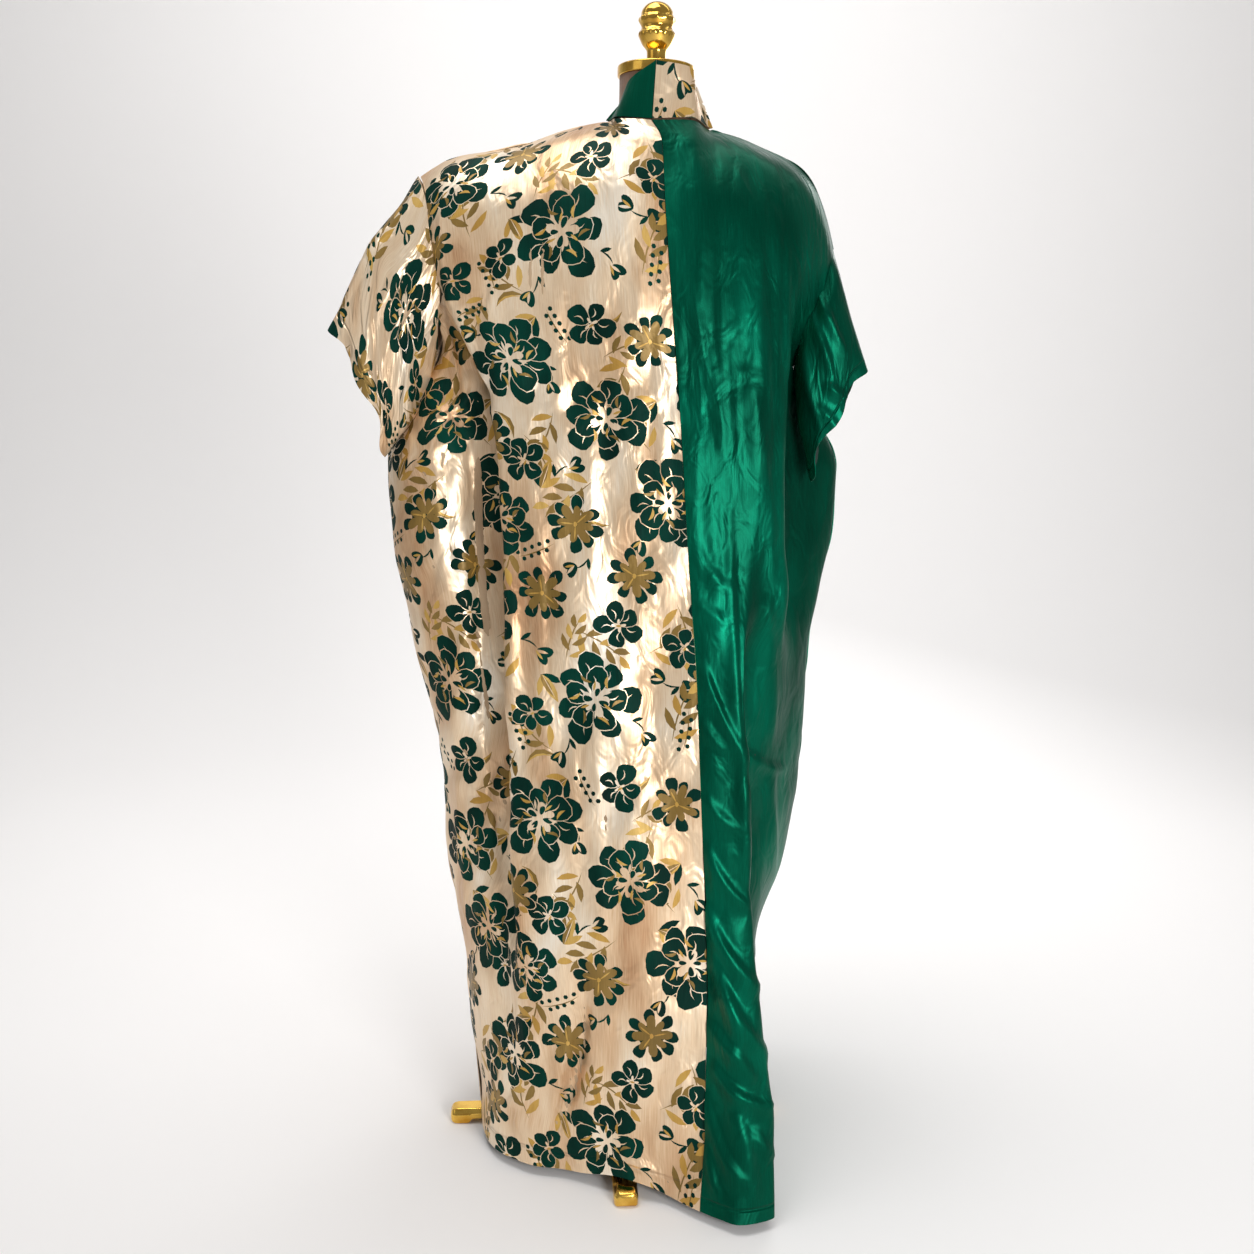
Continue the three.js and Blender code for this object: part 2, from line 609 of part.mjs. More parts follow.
// A leg seen from the side: a low bar with a rounded end, which stands on a foot under its tip.
function legGeometry() {
  const { bevel } = LEG;
  const shape = new THREE.Shape();
  shape.moveTo(LEG.start + bevel, LEG.lift + bevel);
  shape.lineTo(LEG.reach - LEG.foot - 10, LEG.lift + bevel);
  shape.lineTo(LEG.reach - LEG.foot - 3, bevel);
  shape.lineTo(LEG.reach - 9, bevel);
  shape.quadraticCurveTo(LEG.reach - bevel, bevel, LEG.reach - bevel, bevel + 7);
  shape.quadraticCurveTo(LEG.reach - bevel, LEG.height - bevel, LEG.reach - 14, LEG.height - bevel);
  shape.lineTo(LEG.start + bevel, LEG.height - bevel);
  shape.closePath();
  const bar = new THREE.ExtrudeGeometry(shape, {
    depth: LEG.width - 2 * bevel,
    bevelThickness: bevel,
    bevelSize: bevel,
    bevelSegments: 2,
    curveSegments: 5,
  });
  bar.translate(0, 0, -(LEG.width - 2 * bevel) / 2);
  return bar.rotateX(Math.PI / 2);
}

// ------------------------------------------------------------------ materials

const brocade = new THREE.MeshStandardMaterial({ color: '#E3D3C1', roughness: 0.45, metalness: 0 });
const satin = new THREE.MeshStandardMaterial({ color: '#00583F', roughness: 0.32, metalness: 0 });
const formCloth = new THREE.MeshStandardMaterial({ color: '#8B6B57', roughness: 0.9, metalness: 0 });
const gold = new THREE.MeshStandardMaterial({ color: '#D9A63A', roughness: 0.18, metalness: 1 });

function piece(name, geometry, material) {
  const mesh = new THREE.Mesh(geometry, material);
  mesh.name = name;
  return mesh;
}

// ------------------------------------------------------------------ assembly

const group = new THREE.Group();

// One half of the body, with its front, its sleeve and its half of the neck band.
function addHalf(name, { rows, drop, neckV, sleeveRows, bandRows, cloth, bandCloth }) {
  const back = panelSurface(rows.map((row, i) => backLines(row, LEVELS[i], drop)));
  const front = panelSurface(rows.map((row, i) => frontLines(row, LEVELS[i], drop, neckV)));
  group.add(piece(`back_${name}`, panel(back, BACK_CELLS, false), cloth));
  group.add(piece(`front_${name}`, panel(front, FRONT_CELLS, true), cloth));
  group.add(piece(`sleeve_${name}`, sleeve(back, front, sleeveRows), cloth));
  group.add(piece(`neck_band_${name}`, neckBand(back, front, bandRows), bandCloth));
}

addHalf('left', {
  rows: LEFT_ROWS,
  drop: LEFT_DROP,
  neckV: NECK_V.left,
  sleeveRows: LEFT_SLEEVE,
  bandRows: LEFT_BAND,
  cloth: brocade,
  bandCloth: satin,
});
addHalf('right', {
  rows: RIGHT_ROWS,
  drop: RIGHT_DROP,
  neckV: NECK_V.right,
  sleeveRows: RIGHT_SLEEVE,
  bandRows: RIGHT_BAND,
  cloth: satin,
  bandCloth: brocade,
});

group.add(piece('form_torso', torso(), formCloth));

const cap = piece('neck_cap', turned(CAP_PROFILE, 40), gold);
cap.position.z = CAP_BOTTOM;
group.add(cap);

const finial = piece('finial', turned(FINIAL_PROFILE, 28), gold);
finial.position.z = CAP_TOP + SEAM_GAP;
group.add(finial);

const poleBottom = LEG.height + 14;
const poleTop = TORSO_BOTTOM - SEAM_GAP;
const poleShape = new THREE.CylinderGeometry(POLE_RADIUS, POLE_RADIUS, poleTop - poleBottom, 20);
const pole = piece('pole', poleShape.rotateX(Math.PI / 2), gold);
pole.position.set(STAND.x, STAND.y, (poleTop + poleBottom) / 2);
group.add(pole);

const hubTop = poleBottom - SEAM_GAP;
const hubProfile = [
  [0, LEG.lift], [21, LEG.lift], [22.5, LEG.lift + 2], [22.5, LEG.height + 2], [18, hubTop], [0, hubTop],
];
const hub = piece('hub', turned(hubProfile, 32), gold);
hub.position.set(STAND.x, STAND.y, 0);
group.add(hub);

['near', 'right', 'far', 'left'].forEach((name, quarter) => {
  const leg = piece(`leg_${name}`, legGeometry(), gold);
  leg.position.set(STAND.x, STAND.y, 0);
  leg.rotation.z = THREE.MathUtils.degToRad(STAND.turn + 90 * quarter - 90);
  group.add(leg);
});

// The origin is on the floor, under the middle of the whole.
const extent = new THREE.Box3().setFromObject(group);
const middle = extent.getCenter(new THREE.Vector3());
group.position.set(-middle.x, -middle.y, -extent.min.z);

export default group;
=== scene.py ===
# The looks of a two-tone dress on its dress form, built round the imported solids.
# Metres, +Z up, in the solids' own frame. The garment's back faces -Y, its front +Y.

import math

import bpy
import numpy as np
from mathutils import Matrix, Vector
from mathutils.geometry import delaunay_2d_cdt


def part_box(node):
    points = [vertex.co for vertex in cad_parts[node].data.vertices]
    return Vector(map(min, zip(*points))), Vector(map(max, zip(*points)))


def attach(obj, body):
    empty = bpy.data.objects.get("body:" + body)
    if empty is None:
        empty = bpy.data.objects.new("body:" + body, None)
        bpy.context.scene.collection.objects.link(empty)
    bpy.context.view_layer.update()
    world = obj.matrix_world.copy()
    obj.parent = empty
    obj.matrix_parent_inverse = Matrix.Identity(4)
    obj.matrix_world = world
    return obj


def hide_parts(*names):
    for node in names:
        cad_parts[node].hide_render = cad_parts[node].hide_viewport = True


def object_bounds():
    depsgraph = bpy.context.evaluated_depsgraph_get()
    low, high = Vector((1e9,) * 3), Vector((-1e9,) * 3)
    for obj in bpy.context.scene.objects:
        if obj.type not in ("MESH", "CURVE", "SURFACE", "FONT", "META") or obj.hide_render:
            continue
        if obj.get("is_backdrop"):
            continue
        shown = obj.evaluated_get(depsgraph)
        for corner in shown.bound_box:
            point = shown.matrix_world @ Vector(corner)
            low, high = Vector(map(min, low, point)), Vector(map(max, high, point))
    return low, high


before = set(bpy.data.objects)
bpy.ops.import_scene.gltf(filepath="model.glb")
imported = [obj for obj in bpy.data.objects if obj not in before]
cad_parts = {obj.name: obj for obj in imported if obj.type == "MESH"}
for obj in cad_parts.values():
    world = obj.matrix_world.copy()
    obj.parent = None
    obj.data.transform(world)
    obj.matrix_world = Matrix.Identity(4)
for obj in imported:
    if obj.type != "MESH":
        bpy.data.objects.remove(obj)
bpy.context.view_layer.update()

# ---------------------------------------------------------------- camera
# A 39 mm lens at the height of the chest, behind the dress. Places in the tables below are measured
# from the axis of the form's neck, on the floor, which is the middle of the neck's cap.

CAMERA_PLACE = (-0.026, -1.925, 1.058)
CAMERA_TILT, CAMERA_ROLL = math.radians(9.68), math.radians(1.0)
cap_low, cap_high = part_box("neck_cap")
NECK = np.array([(cap_low.x + cap_high.x) / 2, (cap_low.y + cap_high.y) / 2, 0.0])

camera = bpy.data.objects.new("camera", bpy.data.cameras.new("camera"))
bpy.context.scene.collection.objects.link(camera)
bpy.context.scene.camera = camera
camera.data.sensor_width = 36
camera.data.lens = 39
camera.matrix_world = (
    Matrix.Translation(Vector(NECK) + Vector(CAMERA_PLACE))
    @ Matrix.Rotation(math.pi / 2 - CAMERA_TILT, 4, "X")
    @ Matrix.Rotation(CAMERA_ROLL, 4, "Z")
)

# ---------------------------------------------------------------- padded form
# The torso of a limbless form: foam under a matt taupe knit, pulled tight and smooth. Its neck shows
# between the cap and the dress, and its chest shows in the opening of the front.

MM = 0.001


def linear(colour):
    """A colour written as sRGB hex, turned to the linear values that shaders use."""
    parts = [int(colour[i:i + 2], 16) / 255 for i in (1, 3, 5)]
    return [c / 12.92 if c <= 0.04045 else ((c + 0.055) / 1.055) ** 2.4 for c in parts] + [1.0]


def add_node(material, kind, settings=None, values=None, links=None, stops=()):
    """Adds a shader node, with its properties, input values, links and (place, colour) stops."""
    node = material.node_tree.nodes.new(kind)
    for name, value in (settings or {}).items():
        setattr(node, name, value)
    for i, (place, colour) in enumerate(stops):
        stop = node.color_ramp.elements[i] if i < 2 else node.color_ramp.elements.new(place)
        stop.position = place
        stop.color = linear(colour)
    for name, value in (values or {}).items():
        node.inputs[name].default_value = value
    for name, source in (links or {}).items():
        material.node_tree.links.new(source, node.inputs[name])
    return node


def new_material(name, values):
    """A material with its Principled shader's own sockets set."""
    material = bpy.data.materials.new(name)
    material.use_nodes = True
    shader = material.node_tree.nodes["Principled BSDF"]
    for socket, value in values.items():
        shader.inputs[socket].default_value = value
    return material, shader


def slopes(values, end_ease=0.0):
    """Slopes of a monotone cubic down each column: level wherever the values turn back."""
    rise = np.diff(values, axis=0)
    before, after = rise[:-1], rise[1:]
    onward = before * after > 0
    inner = np.where(onward, 2 * before * after / np.where(onward, before + after, 1), 0)
    return np.concatenate([rise[:1], inner, rise[-1:] * (1 - end_ease)])


def monotone(values, places, slope):
    """Values at places, counted in intervals from the first row."""
    i = np.minimum(np.floor(places).astype(int), len(values) - 2)
    f = (places - i)[:, None]
    blend = f * f * (3 - 2 * f)
    return (values[i] + (values[i + 1] - values[i]) * blend
            + slope[i] * f * (1 - f) ** 2 - slope[i + 1] * f * f * (1 - f))


def add_mesh(name, points, faces, materials, node=None):
    """A smooth mesh from points in millimetres round the neck's axis. It stands for a solid's node."""
    mesh = bpy.data.meshes.new(name)
    mesh.from_pydata((np.asarray(points, float) * MM + NECK).tolist(), [], faces)
    mesh.polygons.foreach_set("use_smooth", [True] * len(mesh.polygons))
    for material in materials:
        mesh.materials.append(material)
    piece = bpy.data.objects.new(name, mesh)
    bpy.context.scene.collection.objects.link(piece)
    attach(piece, "root")
    if node:
        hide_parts(node)
    return piece


def grid_faces(rows, columns, closed):
    """Quads between the rows of a grid whose points are listed row by row."""
    faces = []
    for j in range(rows - 1):
        for i in range(columns if closed else columns - 1):
            k = (i + 1) % columns
            faces.append((j * columns + i, (j + 1) * columns + i, (j + 1) * columns + k, j * columns + k))
    return faces


# Rib knit 1.2 mm from rib to rib, so that the eye sees a matt, faintly lined skin.
knit, knit_shader = new_material("taupe_rib_knit", {"Roughness": 0.85, "Sheen Weight": 0.25})
knit_place = add_node(knit, "ShaderNodeTexCoord").outputs["Object"]
knit_noise = add_node(knit, "ShaderNodeTexNoise", values={"Scale": 60.0, "Detail": 3.0},
                      links={"Vector": knit_place})
RIB = 1.2
knit_rib = add_node(knit, "ShaderNodeTexWave", values={
    "Scale": 1 / RIB / MM / 6.28, "Distortion": 0.6}, links={"Vector": knit_place})
knit_colour = add_node(knit, "ShaderNodeValToRGB", links={"Fac": knit_noise.outputs["Fac"]},
                       stops=[(0.3, "#7C5E4B"), (0.7, "#96755F")])
knit.node_tree.links.new(knit_colour.outputs["Color"], knit_shader.inputs["Base Color"])
knit_bump = add_node(knit, "ShaderNodeBump", values={"Strength": 0.25, "Distance": 0.0004},
                     links={"Height": knit_rib.outputs["Fac"]})
knit.node_tree.links.new(knit_bump.outputs["Normal"], knit_shader.inputs["Normal"])

# level, half width, half depth, middle x, middle y
TORSO = np.array([
    [790, 118, 74, -24, -40],
    [815, 136, 90, -23, -38],
    [880, 142, 96, -21, -34],
    [960, 132, 90, -18, -30],
    [1060, 112, 80, -14, -26],
    [1140, 122, 88, -11, -22],
    [1220, 138, 96, -8, -18],
    [1290, 160, 88, -5, -12],
    [1330, 172, 74, -3, -8],
    [1360, 148, 58, -2, -5],
    [1385, 88, 48, -1, -4],
    [1402, 58, 46, 0, -2],
    [1425, 49, 48, 0, 0],
    [1455, 49, 49, 0, 0],
    [1478.7, 49, 49, 0, 0],
], float)
TORSO_SIDES, TORSO_RINGS = 72, 90
around = np.linspace(0, 2 * math.pi, TORSO_SIDES, endpoint=False)
levels = monotone(TORSO, np.linspace(0, len(TORSO) - 1, TORSO_RINGS), slopes(TORSO))
rings = np.stack([
    levels[:, 3:4] + levels[:, 1:2] * np.cos(around),
    levels[:, 4:5] + levels[:, 2:3] * np.sin(around),
    np.repeat(levels[:, 0:1], len(around), axis=1),
], axis=-1)
torso_faces = [f[::-1] for f in grid_faces(TORSO_RINGS, TORSO_SIDES, True)]
torso_faces.append(tuple(range(TORSO_SIDES))[::-1])
torso_faces.append(tuple((TORSO_RINGS - 1) * TORSO_SIDES + i for i in range(TORSO_SIDES)))
add_mesh("torso", rings.reshape(-1, 3), torso_faces, [knit], "form_torso")

# ---------------------------------------------------------------- cap, finial, pole and hub
# Spun and turned brass, buffed and lacquered. The finial's upper ring is fluted and its lower one has
# a row of dimples. The pole runs down inside the dress into a hub. Polished metal gives sharp, slightly
# wavy reflections of the studio.

brass, brass_shader = new_material("polished_brass", {
    "Base Color": linear("#E8B54A"), "Metallic": 1.0, "Roughness": 0.14,
})
brass_place = add_node(brass, "ShaderNodeTexCoord").outputs["Object"]
brass_wear = add_node(brass, "ShaderNodeTexNoise", values={"Scale": 45.0, "Detail": 4.0},
                      links={"Vector": brass_place})
brass_rough = add_node(brass, "ShaderNodeMapRange", values={"To Min": 0.08, "To Max": 0.24},
                       links={"Value": brass_wear.outputs["Fac"]})
brass.node_tree.links.new(brass_rough.outputs["Result"], brass_shader.inputs["Roughness"])
brass_tone = add_node(brass, "ShaderNodeValToRGB", links={"Fac": brass_wear.outputs["Fac"]},
                      stops=[(0.25, "#C8902F"), (0.6, "#F0C45E")])
brass.node_tree.links.new(brass_tone.outputs["Color"], brass_shader.inputs["Base Color"])
brass_bump = add_node(brass, "ShaderNodeBump", values={"Strength": 0.05, "Distance": 0.0005},
                      links={"Height": brass_wear.outputs["Fac"]})
brass.node_tree.links.new(brass_bump.outputs["Normal"], brass_shader.inputs["Normal"])


def rounded(profile):
    """Cuts the corners of an open profile twice, which rounds them."""
    profile = np.array(profile, float)
    for _ in range(2):
        near, far = 0.75 * profile[:-1] + 0.25 * profile[1:], 0.25 * profile[:-1] + 0.75 * profile[1:]
        between = np.stack([near, far], axis=1).reshape(-1, 2)
        profile = np.concatenate([profile[:1], between, profile[-1:]])
    return profile


def add_turned(name, profile, centre, segments, shape=None):
    """A turned piece from (radius, height) points, with an optional change of radius by angle."""
    profile = rounded(profile)
    angle = np.linspace(0, 2 * math.pi, segments, endpoint=False)
    radius = np.repeat(profile[:, :1], segments, axis=1)
    if shape:
        radius = radius + shape(profile[:, 1:2], angle[None, :])
    points = np.stack([
        centre[0] + radius * np.cos(angle),
        centre[1] + radius * np.sin(angle),
        np.repeat(centre[2] + profile[:, 1:2], segments, axis=1),
    ], axis=-1).reshape(-1, 3)
    faces = [f[::-1] for f in grid_faces(len(profile), segments, True)]
    return add_mesh(name, points, faces, [brass], name)


def finial_carving(height, angle):
    """Twelve flutes on the upper ring and sixteen dimples on the lower one."""
    flutes = -1.3 * np.exp(-((height - 58) / 4) ** 2) * np.abs(np.sin(6 * angle))
    dimples = -1.0 * np.exp(-((height - 39.5) / 2.6) ** 2) * np.clip(np.cos(16 * angle), 0, 1)
    return flutes + dimples


CAP_BOTTOM, CAP_TOP = 1479, 1494
add_turned("neck_cap", [(0.01, 0), (51, 0), (52, 0.8), (52, 12), (51.4, 13.2), (49.5, 14.2), (44, 15),
                        (20, 15), (0.01, 15)], (0, 0, CAP_BOTTOM), 128)
add_turned("finial", [
    (0.01, 0), (14.5, 0), (13, 3), (12.6, 18), (14.4, 21), (19, 26), (22.5, 33), (24.8, 38), (24.8, 41),
    (22, 44), (20.4, 48), (22, 52), (24.8, 56), (24.8, 60), (21.6, 63), (21.2, 68), (18.5, 73),
    (14, 77.5), (7.5, 80.5), (0.01, 81.5),
], (0, 0, CAP_TOP + 0.3), 192, finial_carving)

POLE = (-34, -48)
tube, tube_foot, tube_top = 12.5, 36, 789.7
add_turned("pole", [(0.01, tube_foot), (tube, tube_foot), (tube, 37), (tube, 420), (tube, 789),
                    (tube, tube_top), (0.01, tube_top)], (*POLE, 0), 48)
add_turned("hub", [(0.01, 7), (21, 7), (22.5, 9), (22.5, 24), (21, 31), (18, 35.7), (0.01, 35.7)],
           (*POLE, 0), 64)

# ---------------------------------------------------------------- legs
# Four cast bars with a chamfered top, plated and polished like the cap. Each stands on a pad under
# its rounded tip, and the hem hangs over the near one.

LEG_EDGE = 0.7  # radius of the eased edges
# from the pole, half width, underside, top
LEG_STATIONS = np.array([
    [23, 16.5, 7, 22], [120, 16.5, 7, 22], [203, 16.5, 7, 22], [209, 16.5, 6, 22],
    [213, 16.5, 0.4, 22], [217, 16.5, 0, 22], [229, 16.4, 0, 21.8], [234, 15.6, 0.3, 21],
    [237.4, 13.6, 1.8, 19], [239.4, 10.5, 4.5, 16], [240, 6, 7, 13],
], float)
# across as a share of the half width, up as a share of the height
LEG_SECTION = np.array([
    [-0.82, 0], [0.82, 0], [0.96, 0.04], [1, 0.14], [1, 0.58], [0.95, 0.68], [0.72, 0.95], [0.64, 1],
    [0, 1.02], [-0.64, 1], [-0.72, 0.95], [-0.95, 0.68], [-1, 0.58], [-1, 0.14], [-0.96, 0.04],
], float)
for leg, turn in (("leg_near", -85), ("leg_right", 5), ("leg_far", 95), ("leg_left", 185)):
    along = np.array([math.cos(math.radians(turn)), math.sin(math.radians(turn))])
    aside = np.array([-along[1], along[0]])
    out, half, low, high = LEG_STATIONS.T[:, :, None]
    flat = out[..., None] * along + (half * LEG_SECTION[:, 0])[..., None] * aside + POLE
    height = low + (high - low) * np.minimum(LEG_SECTION[:, 1], 1)
    bar = np.concatenate([flat, height[..., None]], axis=-1).reshape(-1, 3)
    sides = len(LEG_SECTION)
    leg_faces = grid_faces(len(LEG_STATIONS), sides, True)
    leg_faces.append(tuple(range(sides)))
    leg_faces.append(tuple((len(LEG_STATIONS) - 1) * sides + i for i in range(sides))[::-1])
    leg_piece = add_mesh(leg, bar, leg_faces, [brass], leg)
    bevel = leg_piece.modifiers.new("eased edges", "BEVEL")
    bevel.width = LEG_EDGE * MM
    bevel.segments = 2
    bevel.limit_method = "ANGLE"
    bevel.angle_limit = math.radians(24)
    leg_piece.modifiers.new("even shading", "WEIGHTED_NORMAL")

# ---------------------------------------------------------------- cloths
# The left half is a satin-faced brocade: champagne silk with fine slubs that run down it, and a
# figure woven in emerald and gold. The right half is plain emerald satin, whose long floats give
# broad, soft highlights. The neck band swaps the two.


def cloth_material(name, look, stops, slub, tone_size, crush, hem=None):
    """A satin weave on the flat cut's own UVs, which are in metres. slub is a thick thread's width,
    tone_size the span of the slow change of tone, crush the depth of the fine crushing, whose dents are
    26 mm wide and 50 mm high, and hem the height of the stitched groove over the edge, in millimetres."""
    material, shader = new_material(name, look)
    place = add_node(material, "ShaderNodeUVMap", {"uv_map": "cut"}).outputs["UV"]
    slub_place = add_node(material, "ShaderNodeMapping", values={
        "Scale": (1 / (slub * MM), 1 / (40 * slub * MM), 1)}, links={"Vector": place})
    slubs = add_node(material, "ShaderNodeTexNoise", values={"Scale": 1.0, "Detail": 2.0},
                     links={"Vector": slub_place.outputs["Vector"]})
    tone_place = add_node(material, "ShaderNodeMapping", values={
        "Scale": (1 / (tone_size * MM), 0.4 / (tone_size * MM), 1)}, links={"Vector": place})
    tone = add_node(material, "ShaderNodeTexNoise", values={
        "Scale": 1.0, "Detail": 2.0, "Roughness": 0.5, "Distortion": 0.3},
        links={"Vector": tone_place.outputs["Vector"]})
    mixed = add_node(material, "ShaderNodeMath", {"operation": "MULTIPLY_ADD"}, {1: 0.3},
                     {0: slubs.outputs["Fac"], 2: tone.outputs["Fac"]})
    colour = add_node(material, "ShaderNodeValToRGB", links={"Fac": mixed.outputs["Value"]},
                      stops=stops)
    material.node_tree.links.new(colour.outputs["Color"], shader.inputs["Base Color"])
    fine = add_node(material, "ShaderNodeBump", values={"Strength": 0.3, "Distance": 0.0003},
                    links={"Height": slubs.outputs["Fac"]})
    crushed_place = add_node(material, "ShaderNodeMapping", values={
        "Scale": (1 / 0.026, 1 / 0.05, 1)}, links={"Vector": place})
    crushed = add_node(material, "ShaderNodeTexNoise", values={
        "Scale": 1.0, "Detail": 2.0, "Roughness": 0.5, "Distortion": 0.8},
        links={"Vector": crushed_place.outputs["Vector"]})
    last = add_node(material, "ShaderNodeBump", values={"Strength": 1.0, "Distance": crush * MM},
                    links={"Height": crushed.outputs["Fac"], "Normal": fine.outputs["Normal"]})
    if hem:
        split = add_node(material, "ShaderNodeSeparateXYZ", links={"Vector": place})
        away = add_node(material, "ShaderNodeMath", {"operation": "SUBTRACT"}, {1: hem * MM},
                        {0: split.outputs["Y"]})
        near = add_node(material, "ShaderNodeMath", {"operation": "ABSOLUTE"},
                        links={0: away.outputs["Value"]})
        groove = add_node(material, "ShaderNodeMapRange", {"interpolation_type": "SMOOTHSTEP"},
                          {"From Min": 0.0, "From Max": 0.0035}, {"Value": near.outputs["Value"]})
        last = add_node(material, "ShaderNodeBump", values={"Strength": 0.9, "Distance": 0.0016},
                        links={"Height": groove.outputs["Result"], "Normal": last.outputs["Normal"]})
    material.node_tree.links.new(last.outputs["Normal"], shader.inputs["Normal"])
    return material


# Slubs are drawn about 1 mm wide. The threads between them are a fifth of that, too fine to show.
SILK = {"Roughness": 0.36, "Metallic": 0.5, "Specular IOR Level": 0.45, "Anisotropic": 0.5,
        "Sheen Weight": 0.06, "Sheen Roughness": 0.4, "Sheen Tint": linear("#FFE2C0")}
champagne_silk = cloth_material(
    "champagne_brocade_ground", SILK,
    [(0.42, "#C0926A"), (0.56, "#DCBA94"), (0.7, "#EFD7B7"), (0.86, "#FDF2E0")], 1.0, 90, 4.2, hem=24)
champagne_reverse = cloth_material(
    "champagne_brocade_reverse", {"Roughness": 0.7, "Sheen Weight": 0.2},
    [(0.4, "#8A7256"), (0.65, "#AE9272"), (0.85, "#BFA688")], 1.4, 60, 0.8)
SATIN = {"Roughness": 0.38, "Metallic": 0.7, "Specular IOR Level": 0.08, "Anisotropic": 0.55}
emerald_satin = cloth_material(
    "emerald_satin", SATIN,
    [(0.4, "#003E2D"), (0.6, "#004F3A"), (0.75, "#006048"), (0.95, "#00785A")], 0.9, 110, 2.6, hem=17)
emerald_reverse = cloth_material(
    "emerald_satin_reverse", {"Roughness": 0.65, "Sheen Weight": 0.1},
    [(0.4, "#001C13"), (0.8, "#003426")], 1.2, 80, 1.0)
# The figure's threads lie across the ground's, in short floats, so they shine less and more evenly.
FIGURE = {"Roughness": 0.55, "Specular IOR Level": 0.07}
GILT = {"Roughness": 0.42, "Metallic": 0.3, "Specular IOR Level": 0.4}
figure_threads = [
    champagne_silk,
    cloth_material("emerald_figure_thread", FIGURE,
                   [(0.4, "#001E18"), (0.65, "#002D24"), (0.9, "#003E32")], 0.8, 60, 2.2, hem=24),
    cloth_material("bronze_figure_thread", GILT,
                   [(0.4, "#6B5422"), (0.65, "#876B33"), (0.9, "#A08146")], 0.8, 60, 2.2, hem=24),
    cloth_material("gold_figure_thread", GILT,
                   [(0.4, "#A67C34"), (0.65, "#C29848"), (0.9, "#DDB96C")], 0.8, 60, 2.2, hem=24),
    champagne_reverse,
]
GROUND, EMERALD, BRONZE, GOLD = range(4)

# ---------------------------------------------------------------- woven figure
# Peonies, small flowers, buds, leafy sprays, berries and crescents, scattered in a repeat a little over
# half as wide as the panel. Each shape is a run of the cloth's own faces, so that the figure lies in
# the weave. A shape covers the ones before it.

CELL = 6.5  # between the points of a cloth's grid
BLOCK = 14  # cells that are cut at a time
WALL = 1.2  # from a cloth's face to the back of its lining


def off(x, y, away, angle):
    """The place at a distance from x and y, in the direction of an angle."""
    return x + away * math.cos(angle), y + away * math.sin(angle)


def turned(x, y, turn, along, across):
    """An outline from its lengths along and across, turned about its start at x and y."""
    c, s = math.cos(turn), math.sin(turn)
    return np.stack([x + along * c - across * s, y + along * s + across * c], axis=-1)


def petal(x, y, turn, length, spread, lobes, margin=0.0):
    """A rounded petal from its base, widest towards its scalloped outer edge."""
    t = np.linspace(0, 2 * math.pi, 14)[:-1]
    reach = 0.5 - 0.5 * np.cos(t)
    ruffle = 1 + 0.05 * np.cos((lobes + 1) * t + 5 * math.sin(7 * turn)) * reach
    width = (length * math.sin(min(spread, 1.2)) * 0.92 + margin) * (0.56 + 0.44 * reach)
    along = (length + 2 * margin) * reach * ruffle - margin
    across = width * np.sin(t) * ruffle
    return turned(x, y, turn, along, across)


def leaf(x, y, turn, length, width, bend=0.0):
    """A lance-shaped leaf, from its stalk."""
    t = np.array([0, 0.2, 0.45, 0.72, 1])
    half = width / 2 * np.sin(math.pi * t) ** 0.8
    middle = bend * t * (1 - t) * 4
    across = np.concatenate([middle + half, (middle - half)[-2:0:-1]])
    along = length * np.concatenate([t, t[-2:0:-1]])
    return turned(x, y, turn, along, across)


def flower(x, y, turn, size, colour, rings, gap=1.3):
    """Rings of overlapping petals, each with a thin gap of ground round it. A ring has a count of
    petals, their base and length as shares of the size, their spread and their lobes."""
    shapes = []
    for ring, (count, base, length, spread, lobes) in enumerate(rings):
        for k in range(count):
            angle = turn + 2 * math.pi * (k + 0.37 * ring) / count + 0.16 * math.sin(5 * k + x + ring)
            grown = size * length * (1 + 0.13 * math.sin(3.1 * k + y + 2 * ring))
            at = (*off(x, y, base * size, angle), angle)
            shapes.append((GROUND, petal(*at, grown, spread, lobes, gap)))
            shapes.append((colour, petal(*at, grown, spread, lobes)))
            if colour == EMERALD and grown > 24:
                start = off(at[0], at[1], 0.2 * grown, angle + 0.5)
                shapes.append((GROUND, leaf(*start, angle + 0.16, 0.5 * grown, 1.8, -4)))
    return shapes


def peony(x, y, turn, size):
    """An open peony: two rings of emerald petals, and a heart of pale, gold and emerald strokes."""
    shapes = flower(x, y, turn, size, EMERALD, [(7, 0.36, 0.66, 0.6, 2), (5, 0.14, 0.6, 0.6, 2)], 1.2)
    shapes += flower(x, y, turn + 0.4, size, GROUND, [(5, 0.05, 0.32, 0.36, 1)], 0.4)
    shapes += flower(x, y, turn + 1.0, size, EMERALD, [(4, 0.08, 0.22, 0.4, 1)], 0.8)
    for k in range(6):
        angle = turn + k * math.pi / 3 + 0.3
        at = off(x, y, 0.4 * size, angle)
        shapes.append((GOLD if k % 2 else BRONZE, leaf(*at, angle + 0.9, 0.32 * size, 4.4, 3)))
        at = off(x, y, 0.2 * size, angle)
        shapes.append((GROUND if k % 2 else GOLD, leaf(*at, angle - 0.3, 0.24 * size, 3.4)))
    return shapes


